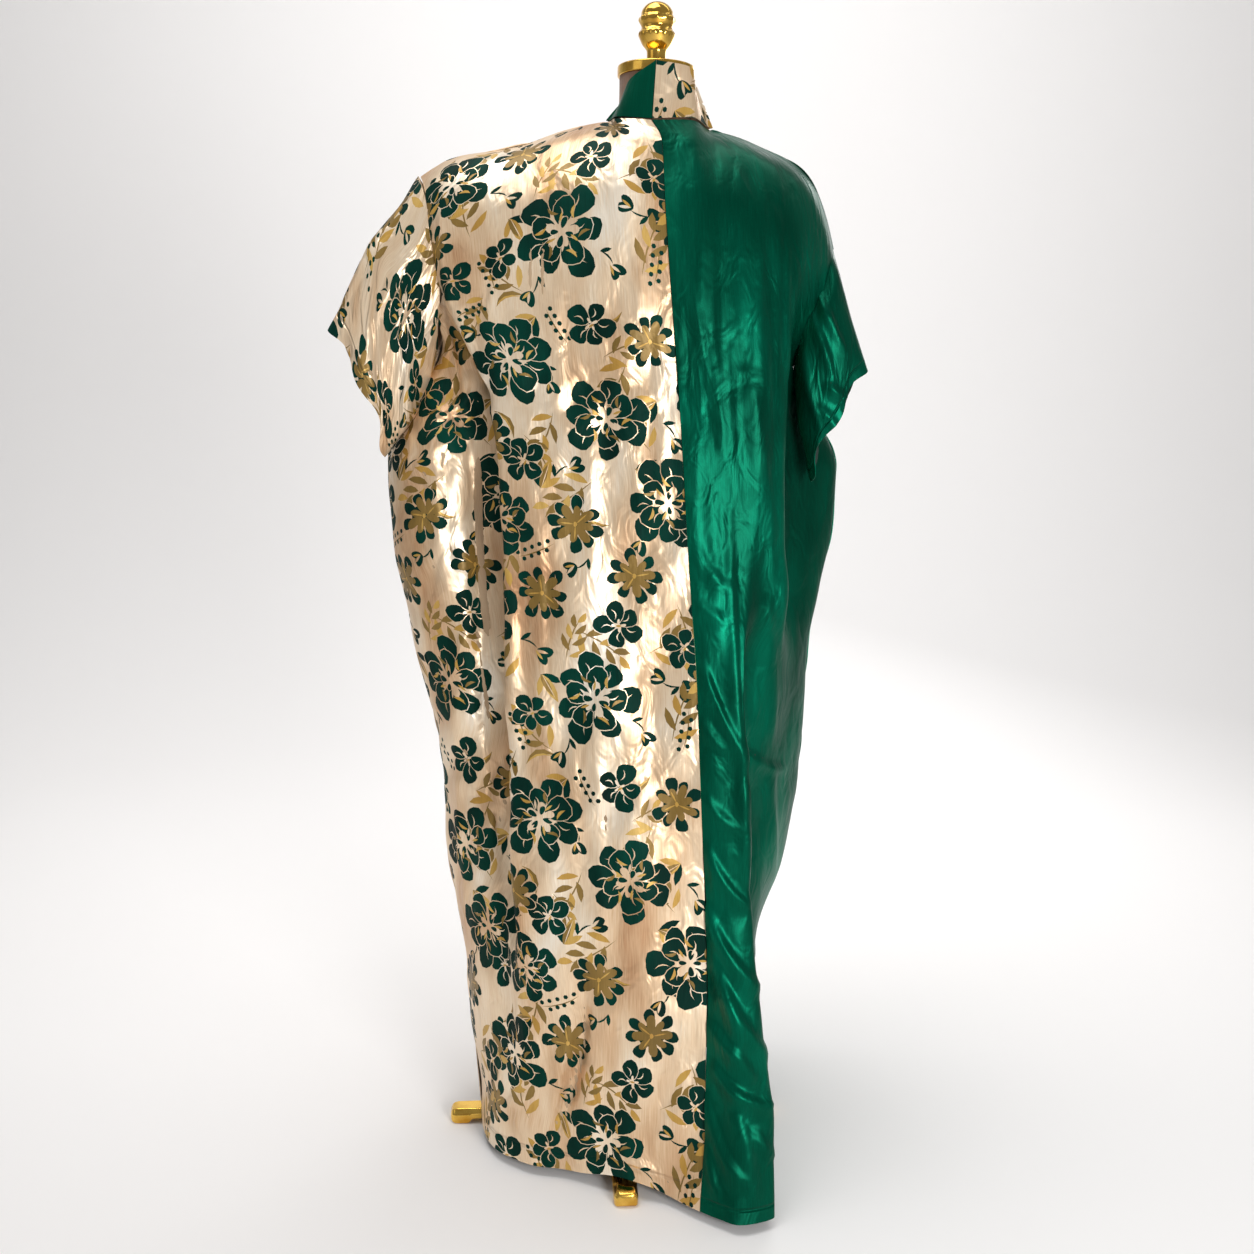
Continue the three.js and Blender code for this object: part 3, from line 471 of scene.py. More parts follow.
def bronze_flower(x, y, turn, size):
    """A flower of bronze rays laid over eight emerald petals, with a gold dot at its heart."""
    shapes = flower(x, y, turn, size, EMERALD, [(8, 0.4, 0.6, 0.5, 2)], 1.1)
    shapes.append((EMERALD, petal(x - 0.5 * size, y, 0, size, 0.57, 1)))
    for k in range(8):
        angle = turn + 2 * math.pi * k / 8
        at = off(x, y, 0.06 * size, angle)
        shapes.append((BRONZE, petal(*at, angle, (0.74 if k % 2 else 0.6) * size, 0.31, 1)))
        if k % 3 == 0:
            shapes.append((GOLD, leaf(*at, angle + 0.1, 0.5 * size, 2.2)))
    shapes.append((GOLD, petal(x - 2.5, y, 0, 5, 1.2, 1)))
    return shapes


def green_flower(x, y, turn, size):
    """A small flower of five rounded emerald petals."""
    shapes = flower(x, y, turn, size, EMERALD, [(5, 0.1, 0.9, 0.6, 2)], 1.0)
    shapes += flower(x, y, turn, size, GROUND, [(4, 0.02, 0.28, 0.24, 1)], 0.3)
    shapes.append((GOLD, leaf(x - 0.12 * size, y, turn, 0.26 * size, 3)))
    return shapes


def bud(x, y, turn, size):
    """A bud in its emerald cup, on a curved stem with one leaf."""
    back = off(x, y, -0.9 * size, turn)
    return [
        (EMERALD, leaf(*back, turn + 0.15, 1.0 * size, 2.6, 3)),
        (EMERALD, leaf(*back, turn + 1.1, 0.7 * size, 0.24 * size)),
        (EMERALD, petal(x - 2, y, turn + 0.35, 0.85 * size, 0.42, 2)),
        (EMERALD, petal(x - 2, y, turn - 0.45, 0.8 * size, 0.4, 2)),
        (GROUND, leaf(x + 1, y, turn + 0.3, 0.7 * size, 0.16 * size)),
        (GOLD, leaf(x + 1, y, turn - 0.35, 0.6 * size, 0.15 * size)),
    ]


def spray(x, y, turn, size):
    """A curved stem with bronze and gold leaves on both sides."""
    shapes = [(BRONZE, leaf(x, y, turn, 1.9 * size, 2.2, 4))]
    for k in range(7):
        side = 1 if k % 2 else -1
        t = 0.2 + 0.25 * k
        at = off(x, y, t * size, turn)
        angle = turn + side * (0.85 - 0.08 * k)
        shapes.append((GOLD if k % 3 == 0 else BRONZE, leaf(*at, angle, (0.85 - 0.05 * k) * size,
                                                           0.25 * size, side * 2)))
    return shapes


def broad_leaves(x, y, turn, size):
    """Three broad leaves, the middle one bronze inside gold."""
    return [
        (EMERALD, leaf(x, y, turn + 0.75, size, 0.34 * size)),
        (GOLD, leaf(x, y, turn - 0.7, 0.95 * size, 0.3 * size)),
        (GOLD, leaf(x, y, turn, 1.35 * size, 0.44 * size)),
        (BRONZE, leaf(x + 2, y, turn, 1.05 * size, 0.28 * size)),
        (GROUND, leaf(x, y, turn, 1.2 * size, 1.4)),
    ]


def berries(x, y, turn, size):
    """A double row of emerald berries on a thin stem."""
    shapes = [(BRONZE, leaf(x, y, turn, 2.6 * size, 1.8, 3))]
    for k in range(9):
        side = 0.24 if k % 2 else -0.24
        t = 0.3 + 0.27 * k
        at = (x + size * (t * math.cos(turn) - side * math.sin(turn)),
              y + size * (t * math.sin(turn) + side * math.cos(turn)))
        dot = np.linspace(0, 2 * math.pi, 7)[:-1] + k
        shapes.append((EMERALD, np.stack([at[0] + 3.3 * np.cos(dot), at[1] + 3.3 * np.sin(dot)], axis=-1)))
    return shapes


def crescent(x, y, turn, size):
    """A bronze crescent that ends in an emerald bud."""
    return [
        (BRONZE, leaf(x, y, turn, 1.8 * size, 0.34 * size, 0.42 * size)),
        (GOLD, leaf(x, y, turn, 1.6 * size, 0.12 * size, 0.3 * size)),
        (EMERALD, petal(*off(x, y, 1.7 * size, turn), turn - 0.9, 0.55 * size, 0.7, 2)),
    ]


REPEAT = (332, 606)
REACH = 70  # a shape this far off the cloth can still touch it
# across and down in the repeat, turn in degrees and size, kind by kind
LAYOUT = {
    spray: [(62, 128, 200, 41), (36, 246, 250, 42), (66, 352, 60, 40), (158, 98, 150, 39),
        (262, 176, 280, 42), (120, 508, 30, 41), (310, 330, 110, 41), (196, 262, 320, 38),
        (20, 60, 100, 40), (236, 590, 70, 40), (318, 500, 200, 38), (166, 420, 60, 36),
        (250, 262, 60, 34), (96, 348, 200, 34), (170, 140, 250, 32), (40, 470, 300, 34),
        (208, 450, 120, 32), (292, 540, 150, 34)],
    broad_leaves: [(180, 296, 40, 32), (62, 492, 160, 31), (210, 160, 120, 31), (30, 404, 30, 31),
        (290, 140, 240, 29), (190, 520, 250, 31), (250, 24, 20, 30)],
    berries: [(254, 208, 110, 22), (12, 200, 80, 22), (176, 592, 20, 22), (300, 296, 200, 20),
        (140, 330, 300, 20)],
    crescent: [(66, 288, 20, 25), (236, 282, 200, 25), (100, 566, 330, 26), (250, 420, 120, 24),
        (300, 20, 60, 22)],
    bud: [(214, 128, 150, 27), (44, 162, 340, 25), (186, 262, 60, 25), (76, 232, 130, 23),
        (274, 316, 10, 26), (152, 494, 210, 25), (60, 586, 60, 24), (12, 452, 120, 25),
        (322, 176, 250, 24), (150, 14, 30, 23), (258, 512, 330, 25), (170, 380, 100, 22)],
    green_flower: [(98, 92, 0, 31), (108, 304, 30, 31), (212, 484, 60, 30), (296, 238, 10, 31),
        (306, 398, 40, 29), (226, 212, 20, 26), (14, 118, 50, 27), (318, 580, 15, 28)],
    bronze_flower: [(198, 52, 0, 37), (72, 26, 50, 36), (146, 566, 80, 37), (264, 456, 10, 37),
        (32, 326, 20, 35), (322, 172, 70, 33)],
    peony: [(138, 190, 20, 58), (222, 352, 100, 58), (98, 428, 200, 55), (22, 536, 300, 55),
        (288, 84, 40, 53), (250, 560, 160, 48)],
}


def figure_on(width, height, shift):
    """Every shape of the repeat that falls on a cut of this width and height, in millimetres."""
    placed = [(kind, *place) for kind, places in LAYOUT.items() for place in places]
    shapes = []
    for row in range(-2, int(height / REPEAT[1]) + 2):
        for column in range(-2, int(width / REPEAT[0]) + 3):
            for kind, across, down, turn, size in placed:
                x = across + column * REPEAT[0] - shift[0]
                y = down + row * REPEAT[1] - shift[1]
                if -REACH < x < width + REACH and -REACH < y < height + REACH:
                    shapes += kind(x, y, math.radians(turn), size)
    return shapes


def clipped(shape, low, high):
    """A shape cut off outside a box."""
    for axis in (0, 1):
        for side, limit in ((1, low[axis]), (-1, high[axis])):
            inside = side * (shape[:, axis] - limit) >= 0
            if inside.all():
                continue
            kept = []
            for k, (a, b) in enumerate(zip(shape, np.roll(shape, -1, axis=0))):
                if inside[k]:
                    kept.append(a)
                if inside[k] != inside[(k + 1) % len(shape)]:
                    cut = a + (b - a) * (limit - a[axis]) / (b[axis] - a[axis])
                    cut[axis] = limit
                    kept.append(cut)
            if not kept:
                return np.zeros((0, 2))
            shape = np.array(kept)
    return shape


def sampled(grid, places):
    """Points of a smooth surface through a grid, at places counted in its columns and rows."""
    rows, columns = grid.shape[:2]
    i = np.clip(np.floor(places).astype(int), 0, [columns - 2, rows - 2])
    f = places - i
    weights = np.stack([-f + 2 * f ** 2 - f ** 3, 2 - 5 * f ** 2 + 3 * f ** 3,
                        f + 4 * f ** 2 - 3 * f ** 3, f ** 3 - f ** 2]) / 2
    result = 0
    for m in range(4):
        for n in range(4):
            row = np.clip(i[:, 1] + m - 1, 0, rows - 1)
            column = np.clip(i[:, 0] + n - 1, 0, columns - 1)
            result = result + grid[row, column] * (weights[m, :, 1] * weights[n, :, 0])[:, None]
    return result


def figured_faces(grid, across, up, shift):
    """Cuts the woven figure into the grid, block by block. Gives places in the grid, triangles, and
    the thread of each."""
    rows, columns = grid.shape[:2]
    down = up[0, 0] - up[:, 0]
    shapes = []
    for thread, shape in figure_on(across.max(), up.max(), shift):
        row = np.interp(shape[:, 1], down, np.arange(rows))
        middle = int(round(row.mean()))
        edges = across[middle]
        beyond = np.maximum(shape[:, 0] - edges[-1], 0) + np.minimum(shape[:, 0], 0)
        place = np.stack([np.interp(shape[:, 0], edges, np.arange(columns)) + beyond / CELL, row], axis=-1)
        place[:, 1] += (np.maximum(shape[:, 1] - down[-1], 0) + np.minimum(shape[:, 1], 0)) / CELL
        shapes.append((thread, place))
    least = np.array([place.min(axis=0) for _, place in shapes])
    most = np.array([place.max(axis=0) for _, place in shapes])
    known, places, faces, inks = {}, [], [], []
    for j in range(0, rows - 1, BLOCK):
        for i in range(0, columns - 1, BLOCK):
            low, high = np.array([i, j]), np.minimum([i + BLOCK, j + BLOCK], [columns - 1, rows - 1])
            corners = [Vector((x, y)) for y in range(j, high[1] + 1) for x in range(i, high[0] + 1)]
            outlines, threads = [], []
            for near in np.nonzero(((least < high) & (most > low)).all(axis=1))[0]:
                inside = clipped(shapes[near][1], low.astype(float), high.astype(float))
                if len(inside) > 2:
                    outlines.append(list(range(len(corners), len(corners) + len(inside))))
                    corners += [Vector(p) for p in inside]
                    threads.append(shapes[near][0])
            found, _, cells = delaunay_2d_cdt(corners, [], outlines, 0, 0.003, False)[:3]
            middles = np.array(found)[np.array(cells)].mean(axis=1)[:, :2]
            ink = np.full(len(cells), GROUND)
            for outline, thread in zip(outlines, threads):
                a = np.array([corners[k] for k in outline])
                b = np.roll(a, -1, axis=0)
                some = np.nonzero(((middles > a.min(axis=0)) & (middles < a.max(axis=0))).all(axis=1))[0]
                x, y = middles[some, 0:1], middles[some, 1:2]
                spans = (a[:, 1] > y) != (b[:, 1] > y)
                rise = np.where(b[:, 1] == a[:, 1], 1, b[:, 1] - a[:, 1])
                left_of = x < (b[:, 0] - a[:, 0]) * (y - a[:, 1]) / rise + a[:, 0]
                ink[some[(spans & left_of).sum(axis=1) % 2 == 1]] = thread
            numbers = []
            for x, y in found:
                key = (round(x, 3), round(y, 3))
                if key not in known:
                    known[key] = len(places)
                    places.append((x, y))
                numbers.append(known[key])
            for cell, thread in zip(cells, ink):
                face = tuple(numbers[k] for k in cell)
                if len(set(face)) == 3:
                    faces.append(face)
                    inks.append(int(thread))
    return np.array(places), faces, inks


# ---------------------------------------------------------------- cut of the body
# Four full-length panels, sewn at the centre back, the centre front, the shoulders and the sides.
# Each is read off a table of levels, from the neckline down to the hem, and of the lines that run
# down it: a ridge, the edge of a deep fold, the valley behind it, a bulge, a hollow and the side.

TOP, HEM, UNDERARM = 1411, 14, 5

# height, place of the centre back seam, height and depth of the centre front seam, depth of the folds
LEVELS = np.array([
    [TOP, -5, -71, 1290, 108, 0], [1385, 8, -84, 1268, 112, 2], [1310, 13, -110, 1235, 117, 4],
    [1215, 21, -130, 1185, 122, 6], [1150, 27, -136, 1140, 123, 8], [1100, 32, -139, 1100, 123, 9],
    [1035, 38, -143, 1035, 124, 10], [960, 44, -149, 960, 126, 12], [870, 51, -155, 870, 132, 13],
    [790, 58, -164, 790, 136, 14], [700, 66, -176, 700, 142, 15], [540, 75, -198, 540, 154, 17],
    [390, 84, -220, 390, 166, 19], [270, 88, -240, 270, 176, 20], [130, 88, -270, 130, 186, 21],
    [HEM, 82, -312, HEM, 194, 22],
], float)

# share of the shoulder's fall, bow, then x and y of ridge, fold, valley, bulge, hollow and side,
# and half of the armhole
LEFT_ROWS = np.array([
    [1, 20, -68, 0, -262, 0, -280, 0, -293, 0, -305, 0, -317, 0, 0],
    [0.95, 12, -75, -50, -272, -38, -281, -37, -290, -36, -298, -34, -306, 0, 32],
    [0.8, 6, -86, -106, -277, -62, -281, -60, -285, -57, -289, -54, -293, 0, 48],
    [0.3, 4, -89, -127, -273, -66, -275, -60, -278, -58, -280, -55, -283, 0, 52],
    [0, 3, -87, -134, -255, -78, -247, -30, -262, -32, -276, -36, -290, 0, 38],
    [0, 2, -84, -138, -235, -88, -226, -28, -256, -36, -280, -28, -298, 0, 0],
    [0, 2, -80, -141, -208, -102, -198, -32, -252, -48, -298, -34, -344, 36, 0],
    [0, 2, -76, -146, -193, -116, -183, -38, -258, -62, -326, -48, -366, 20, 0],
    [0, 2, -73, -152, -189, -124, -178, -46, -257, -72, -328, -56, -360, 0, 0],
    [0, 2, -70, -161, -184, -132, -172, -52, -252, -76, -318, -56, -350, 0, 0],
    [0, 2, -68, -172, -180, -142, -168, -62, -240, -80, -300, -56, -331, 0, 0],
    [0, 3, -64, -196, -174, -160, -162, -84, -216, -92, -264, -60, -291, -5, 0],
    [0, 4, -60, -212, -172, -176, -166, -122, -202, -112, -254, -66, -284, -10, 0],
    [0, 4, -58, -222, -164, -190, -178, -165, -202, -136, -240, -78, -257, -20, 0],
    [0, 2, -55, -230, -152, -202, -180, -182, -206, -152, -232, -92, -243, -34, 0],
    [0, -4, -52, -238, -140, -210, -168, -198, -190, -180, -215, -132, -230, -72, 0],
], float)
RIGHT_ROWS = np.array([
    [1, 20, 79, 0, 140, 0, 187, 0, 214, 0, 234, 0, 246, 0, 0],
    [0.95, 10, 84, -50, 138, -56, 180, -50, 206, -45, 226, -38, 239, 0, 30],
    [0.8, 6, 84, -108, 132, -104, 170, -92, 195, -78, 213, -62, 224, -6, 42],
    [0.35, 4, 85, -127, 128, -124, 160, -109, 189, -90, 198, -70, 209, -12, 42],
    [0.1, 3, 87, -134, 128, -133, 158, -118, 185, -96, 188, -66, 201, -17, 30],
    [0, 2, 90, -137, 130, -136, 158, -122, 181, -100, 176, -56, 196, -18, 0],
    [0, 2, 94, -142, 132, -139, 158, -126, 178, -106, 172, -44, 236, 42, 0],
    [0, 2, 98, -148, 135, -143, 156, -131, 177, -112, 166, -46, 272, 42, 0],
    [0, 2, 100, -154, 132, -149, 154, -137, 180, -116, 168, -54, 268, 38, 0],
    [0, 2, 101, -165, 130, -160, 150, -142, 187, -114, 178, -60, 250, 22, 0],
    [0, 2, 103, -182, 127, -184, 124, -146, 184, -102, 200, -66, 233, 8, 0],
    [0, 3, 106, -206, 132, -204, 124, -152, 178, -98, 202, -62, 227, 0, 0],
    [0, 4, 116, -233, 144, -222, 134, -166, 168, -112, 186, -72, 207, -8, 0],
    [0, 4, 126, -262, 156, -246, 147, -190, 157, -134, 162, -86, 167, -25, 0],
    [0, 2, 134, -298, 177, -282, 166, -215, 170, -155, 174, -102, 178, -45, 0],
    [0, 2, 132, -340, 181, -320, 178, -250, 180, -182, 181, -120, 181, -60, 0],
], float)
# how far each line of the shoulder lies below the neckline at the centre back
LEFT_DROP = [0, -6, -10, 41, 46, 52, 58, 65]
RIGHT_DROP = [0, -5, -2, 18, 37, 64, 108, 151]
# the front's lines: share of the way round to the side, and push outwards as a share of the folds
FRONT_LINES = [(0.15, -0.6), (0.32, 1), (0.5, -0.9), (0.64, 0.8), (0.78, -0.7), (0.92, 0)]
NECK_V = {"left": (-50, 56, 1372), "right": (52, 54, 1372)}
LEG_TURNS = np.radians([-85, 5, 95, 185])


def smoothstep(value, low, high):
    share = np.clip((value - low) / (high - low), 0, 1)
    return share * share * (3 - 2 * share)


def back_lines(row, level, drop):
    """The eight lines of one level of a back panel, from the centre seam to the side."""
    height, centre = level[0], level[1:3]
    slope, bow, ridge, armhole = row[0], row[1], row[2:4], row[14]
    outward = np.array([ridge[1] - centre[1], -(ridge[0] - centre[0])])
    outward = outward / np.linalg.norm(outward) * (-1 if outward[1] > 0 else 1)
    flat = [centre, (centre + ridge) / 2 + outward * bow, *row[2:14].reshape(6, 2)]
    flat[-1] = flat[-1] - [0, armhole]
    return [[x, y, height - slope * d] for (x, y), d in zip(flat, drop)]


def front_lines(row, level, drop, neck):
    """The eight lines of one level of a front panel, which shares the back's shoulder and side."""
    shoulder = back_lines(row, level, drop)
    centre = [10 * (TOP - level[0]) / (TOP - HEM), level[4], level[3]]
    side = [row[12], row[13] + row[14], shoulder[7][2]]
    if level[0] == TOP:
        return [centre, list(neck), *shoulder[2:7], side]
    follow = float(smoothstep(level[0], 1035, 1310))
    inner = []
    for (share, push), (back_x, back_y, back_z) in zip(FRONT_LINES, shoulder[1:7]):
        turn = share * math.pi / 2
        x = centre[0] + (side[0] - centre[0]) * math.sin(turn)
        y = side[1] + (centre[1] - side[1]) * math.cos(turn) ** 0.8 + push * level[5]
        inner.append([x + (back_x - x) * follow, y + (-0.92 * back_y - y) * follow, back_z])
    inner[0][1] += ((centre[1] + inner[1][1]) / 2 + 4 - inner[0][1]) * follow
    inner[0][2] = (centre[2] + inner[1][2]) / 2
    return [centre, *inner, side]


def hem_rise(points):
    """How much the hem rises over each leg of the stand."""
    height = np.clip((points[..., 2] - HEM) / 140, 0, 1)
    away = points[..., :2] - POLE
    rise = np.zeros(points.shape[:-1])
    for turn in LEG_TURNS:
        ahead = away @ [math.cos(turn), math.sin(turn)]
        aside = away @ [-math.sin(turn), math.cos(turn)] / 42
        rise += np.where(ahead >= 0, np.exp(-aside ** 2), 0)
    return 13 * rise * (1 - height) ** 2


def stations(gaps, cell):
    """Places along a row of lines, a cell apart, where gaps are the lines' distances."""
    places = [np.array([0.0])]
    for i, gap in enumerate(gaps):
        count = max(2, int(math.ceil(gap / cell)))
        places.append(i + np.arange(1, count + 1) / count)
    return np.concatenate(places)


def body_grid(rows, cell):
    """The panel's fine grid of points: down each line first, and then across the lines."""
    rows = np.array(rows, float)
    down_gaps = np.linalg.norm(np.diff(rows, axis=0), axis=-1).mean(axis=1)
    across_gaps = np.linalg.norm(np.diff(rows, axis=1), axis=-1).max(axis=0)
    down, across = stations(down_gaps, cell), stations(across_gaps, cell)
    flat = rows.reshape(len(rows), -1)
    slope = slopes(flat)
    slope[UNDERARM, 7 * 3 + 1] = 0
    lines = monotone(flat, down, slope).reshape(len(down), 8, 3)
    turn = np.clip(down - UNDERARM + 1, 0, 1)
    ease = np.stack([turn, 0 * turn, 0 * turn], axis=-1).reshape(-1)
    cross = lines.transpose(1, 0, 2).reshape(8, -1)
    grid = monotone(cross, across, slopes(cross, ease)).reshape(len(across), len(down), 3)
    grid = grid.transpose(1, 0, 2).copy()
    grid[..., 2] += hem_rise(grid)
    return grid


def grid_normals(grid, towards):
    """Unit normals of a grid of points, on the side that towards faces on the whole."""
    normals = np.cross(np.gradient(grid, axis=1), np.gradient(grid, axis=0))
    normals /= np.maximum(np.linalg.norm(normals, axis=-1, keepdims=True), 1e-9)
    if (normals @ np.array(towards)).mean() < 0:
        normals = -normals
    return normals


DEEPEN = 1.9  # the depth of a fold over its crease's height in the tables


def creased(grid, normals, creases, swell, seed, smooth_above=2000):
    """Moves the cloth along its normals: by each crease of the table, by a slow, seeded swell and, up
    to a height, by finer crumpling."""
    x, z = grid[..., 0], grid[..., 2]
    lift = np.zeros(x.shape)
    for x1, z1, x2, z2, bow, height, width, skew in creases:
        run = np.array([x2 - x1, z2 - z1], float)
        length = np.linalg.norm(run)
        run /= length
        along = ((x - x1) * run[0] + (z - z1) * run[1]) / length
        inside = np.clip(along, 0, 1)
        aside = (x - x1) * run[1] - (z - z1) * run[0] - bow * 4 * inside * (1 - inside)
        spread = np.where(aside > 0, width, width * skew)
        fade = np.clip(np.sin(math.pi * np.clip(along, 0, 1)), 0, 1) ** 0.6
        lift += DEEPEN * height * np.exp(-(aside / spread) ** 2) * fade
    rng = np.random.default_rng(seed)
    for _ in range(9):
        across, up = rng.uniform(0.012, 0.05), rng.uniform(0.003, 0.014)
        phase, lean = rng.uniform(0, 6.28), rng.uniform(-0.3, 0.3)
        lift += swell / 3 * np.sin(across * (x + lean * z) + phase + 1.5 * np.sin(up * z + phase))
    for _ in range(14):
        across, up = rng.uniform(0.035, 0.11), rng.uniform(0.006, 0.03)
        phase, lean = rng.uniform(0, 6.28), rng.uniform(-0.6, 0.6)
        wave = np.sin(across * (x + lean * z) + phase + 1.3 * np.sin(up * z + 2 * phase))
        calm = 1 - 0.8 * smoothstep(z, smooth_above - 300, smooth_above)
        lift += swell / 1.8 * wave * calm * np.clip(np.sin(0.6 * up * z + 3 * phase), 0, 1)
    return grid + normals * lift[..., None]


def lengths(grid, axis):
    """Distance along the cloth from the grid's first row or column."""
    step = np.linalg.norm(np.diff(grid, axis=axis), axis=-1)
    start = np.zeros_like(np.take(step, [0], axis=axis))
    return np.concatenate([start, np.cumsum(step, axis=axis)], axis=axis)


def add_cloth(name, grid, normals, materials, figure=None, uv_start=0):
    """A shell of cloth on a grid of points, with the flat cut's UVs. figure is where the woven
    figure's repeat starts, and uv_start how far up the cut its lower edge lies."""
    rows, columns = grid.shape[:2]
    across, down = lengths(grid, 1), lengths(grid, 0)[:, columns // 3]
    up = np.repeat((down[-1] - down)[:, None], columns, axis=1)
    if figure:
        places, faces, inks = figured_faces(grid, across, up, figure)
    else:
        column, row = np.meshgrid(np.arange(columns), np.arange(rows))
        places = np.stack([column.ravel(), row.ravel()], axis=-1).astype(float)
        faces = grid_faces(rows, columns, False)
        inks = [0] * len(faces)
    limits = np.array([columns - 1, rows - 1])
    edge = (places < 1e-6) | (places > limits - 1e-6)
    rim = np.nonzero(edge.any(axis=1))[0]
    around = np.where(places[rim, 1] < 1e-6, places[rim, 0],
                      np.where(places[rim, 0] > limits[0] - 1e-6, limits[0] + places[rim, 1],
                               np.where(places[rim, 1] > limits[1] - 1e-6,
                                        limits.sum() + limits[0] - places[rim, 0],
                                        2 * limits.sum() - places[rim, 1])))
    rim = rim[np.argsort(around)]
    column, row = np.meshgrid(np.arange(1, columns - 1, 2), np.arange(1, rows - 1, 2))
    lining = np.concatenate([places[rim], np.stack([column.ravel(), row.ravel()], axis=-1)])
    if figure:
        lining, _, lining_faces, origins = delaunay_2d_cdt(
            [Vector(p) for p in lining], [], [], 0, 1e-7, True)[:4]
        lining = np.array(lining)[:, :2]
        match = {origin: k for k, source in enumerate(origins) for origin in source}
        lining_rim = [match[k] for k in range(len(rim))]
    else:
        lining, lining_faces, lining_rim = places, faces, list(rim)
    outer, inner = sampled(grid, places), sampled(grid, lining)
    half = WALL / 2
    outer_out, inner_out = sampled(normals, places), sampled(normals, lining)
    points = np.concatenate([outer + half * outer_out, inner - half * inner_out])
    count = len(places)
    a, b, c = (outer[i] for i in faces[len(faces) // 2][:3])
    flip = np.dot(np.cross(b - a, c - a), outer_out[faces[len(faces) // 2][0]]) < 0
    a, b, c = (inner[i] for i in lining_faces[len(lining_faces) // 2][:3])
    flip_lining = np.dot(np.cross(b - a, c - a), inner_out[lining_faces[len(lining_faces) // 2][0]]) > 0
    faces = [tuple(f)[::-1] if flip else tuple(f) for f in faces]
    lining_shell = [tuple(f)[::-1] if flip_lining else tuple(f) for f in lining_faces]
    edges = []
    for k in range(len(rim)):
        n = (k + 1) % len(rim)
        edges.append((rim[k], rim[n], count + lining_rim[n], count + lining_rim[k]))
    first = next(f for f in faces if rim[0] in f and rim[1] in f)
    forward = (first.index(rim[1]) - first.index(rim[0])) % len(first) == 1
    edges = [f[::-1] for f in edges] if forward else edges
    shell = faces + [tuple(count + k for k in f) for f in lining_shell] + edges
    piece = add_mesh(name, points, shell, materials, name)
    reverse = len(materials) - 1
    inks = inks + [reverse] * len(lining_shell) + [0] * len(edges)
    piece.data.polygons.foreach_set("material_index", inks)
    piece.data.set_sharp_from_angle(angle=math.radians(62))
    corner = np.zeros(len(piece.data.loops), int)
    piece.data.loops.foreach_get("vertex_index", corner)
    flat = sampled(np.stack([across, up + uv_start], axis=-1), np.concatenate([places, lining]))
    layer = piece.data.uv_layers.new(name="cut")
    layer.data.foreach_set("uv", (flat[corner] * MM).astype(np.float32).ravel())
    return piece


# ---------------------------------------------------------------- back panels
# The left back hangs from the shoulder with one deep fold that opens under the arm, and is lightly
# crumpled all over. The satin of the right back is tucked at the sleeve and crushed towards the hem.
# Creases are listed one by one: from x, z to x, z, then bow, height, width and how sharp the other side
# is.

LEFT_CREASES = [
    (-276, 1250, -222, 1040, 8, 5.0, 13, 0.8), (-286, 1200, -256, 980, 4, -7.0, 16, 0.8),
    (-204, 1090, -181, 620, -4, 3.6, 13, 0.8),
    (-180, 760, -170, 380, 0, 3.0, 13, 0.8), (-252, 1110, -222, 700, -6, -9.5, 18, 0.8),
    (-232, 820, -208, 420, 0, -8.0, 18, 0.8), (-196, 500, -184, 180, 0, -4.5, 14, 0.8),
    (-290, 1060, -268, 760, 8, 3.4, 12, 0.5), (-262, 700, -246, 330, 6, 3.2, 12, 0.5),
    (-150, 1335, -146, 1090, 4, 1.6, 7, 0.5), (-176, 1330, -170, 1130, -4, 1.3, 8, 0.6),
    (-120, 1250, -112, 930, 6, 1.8, 16, 0.5), (-30, 1360, -22, 1020, -6, 1.8, 22, 0.6),
    (-62, 1180, -74, 800, 5, 2.0, 14, 0.5), (10, 1180, 22, 860, 0, 1.6, 12, 0.7),
    (-62, 640, -48, 300, 3, 2.3, 13, 0.6), (-98, 700, -92, 420, -3, 1.8, 12, 0.6),
    (-10, 720, 6, 380, 4, 2.2, 18, 0.6), (-140, 900, -136, 600, 3, 2.4, 12, 0.6),
    (-77, 318, -76, 210, 0, -4.0, 12, 0.8), (-72, 250, -106, 70, -6, -5.5, 12, 0.6),
    (-92, 240, -124, 60, -4, 4.0, 12, 0.5), (-40, 260, -62, 60, 5, 3.0, 16, 0.6),
    (20, 300, 10, 90, 4, 2.6, 18, 0.7), (-40, 1000, 20, 900, 8, 2.0, 18, 0.6),
    (-130, 1060, -60, 960, 6, 1.8, 16, 0.6), (-200, 960, -230, 700, 8, 2.6, 16, 0.6),
    (-240, 1010, -330, 930, 8, 3.0, 12, 0.5), (-230, 1060, -300, 1010, 5, 3.0, 10, 0.5),
    (-260, 880, -330, 760, 10, 2.6, 16, 0.6), (-230, 760, -290, 600, 8, 2.4, 14, 0.6),
    (-180, 560, -230, 380, 6, 3.0, 14, 0.5), (-190, 420, -170, 240, 5, 3.0, 12, 0.5),
    (-20, 60, 40, 40, 3, 2.0, 7, 0.8), (-150, 110, -200, 60, 4, 2.4, 9, 0.7),
]
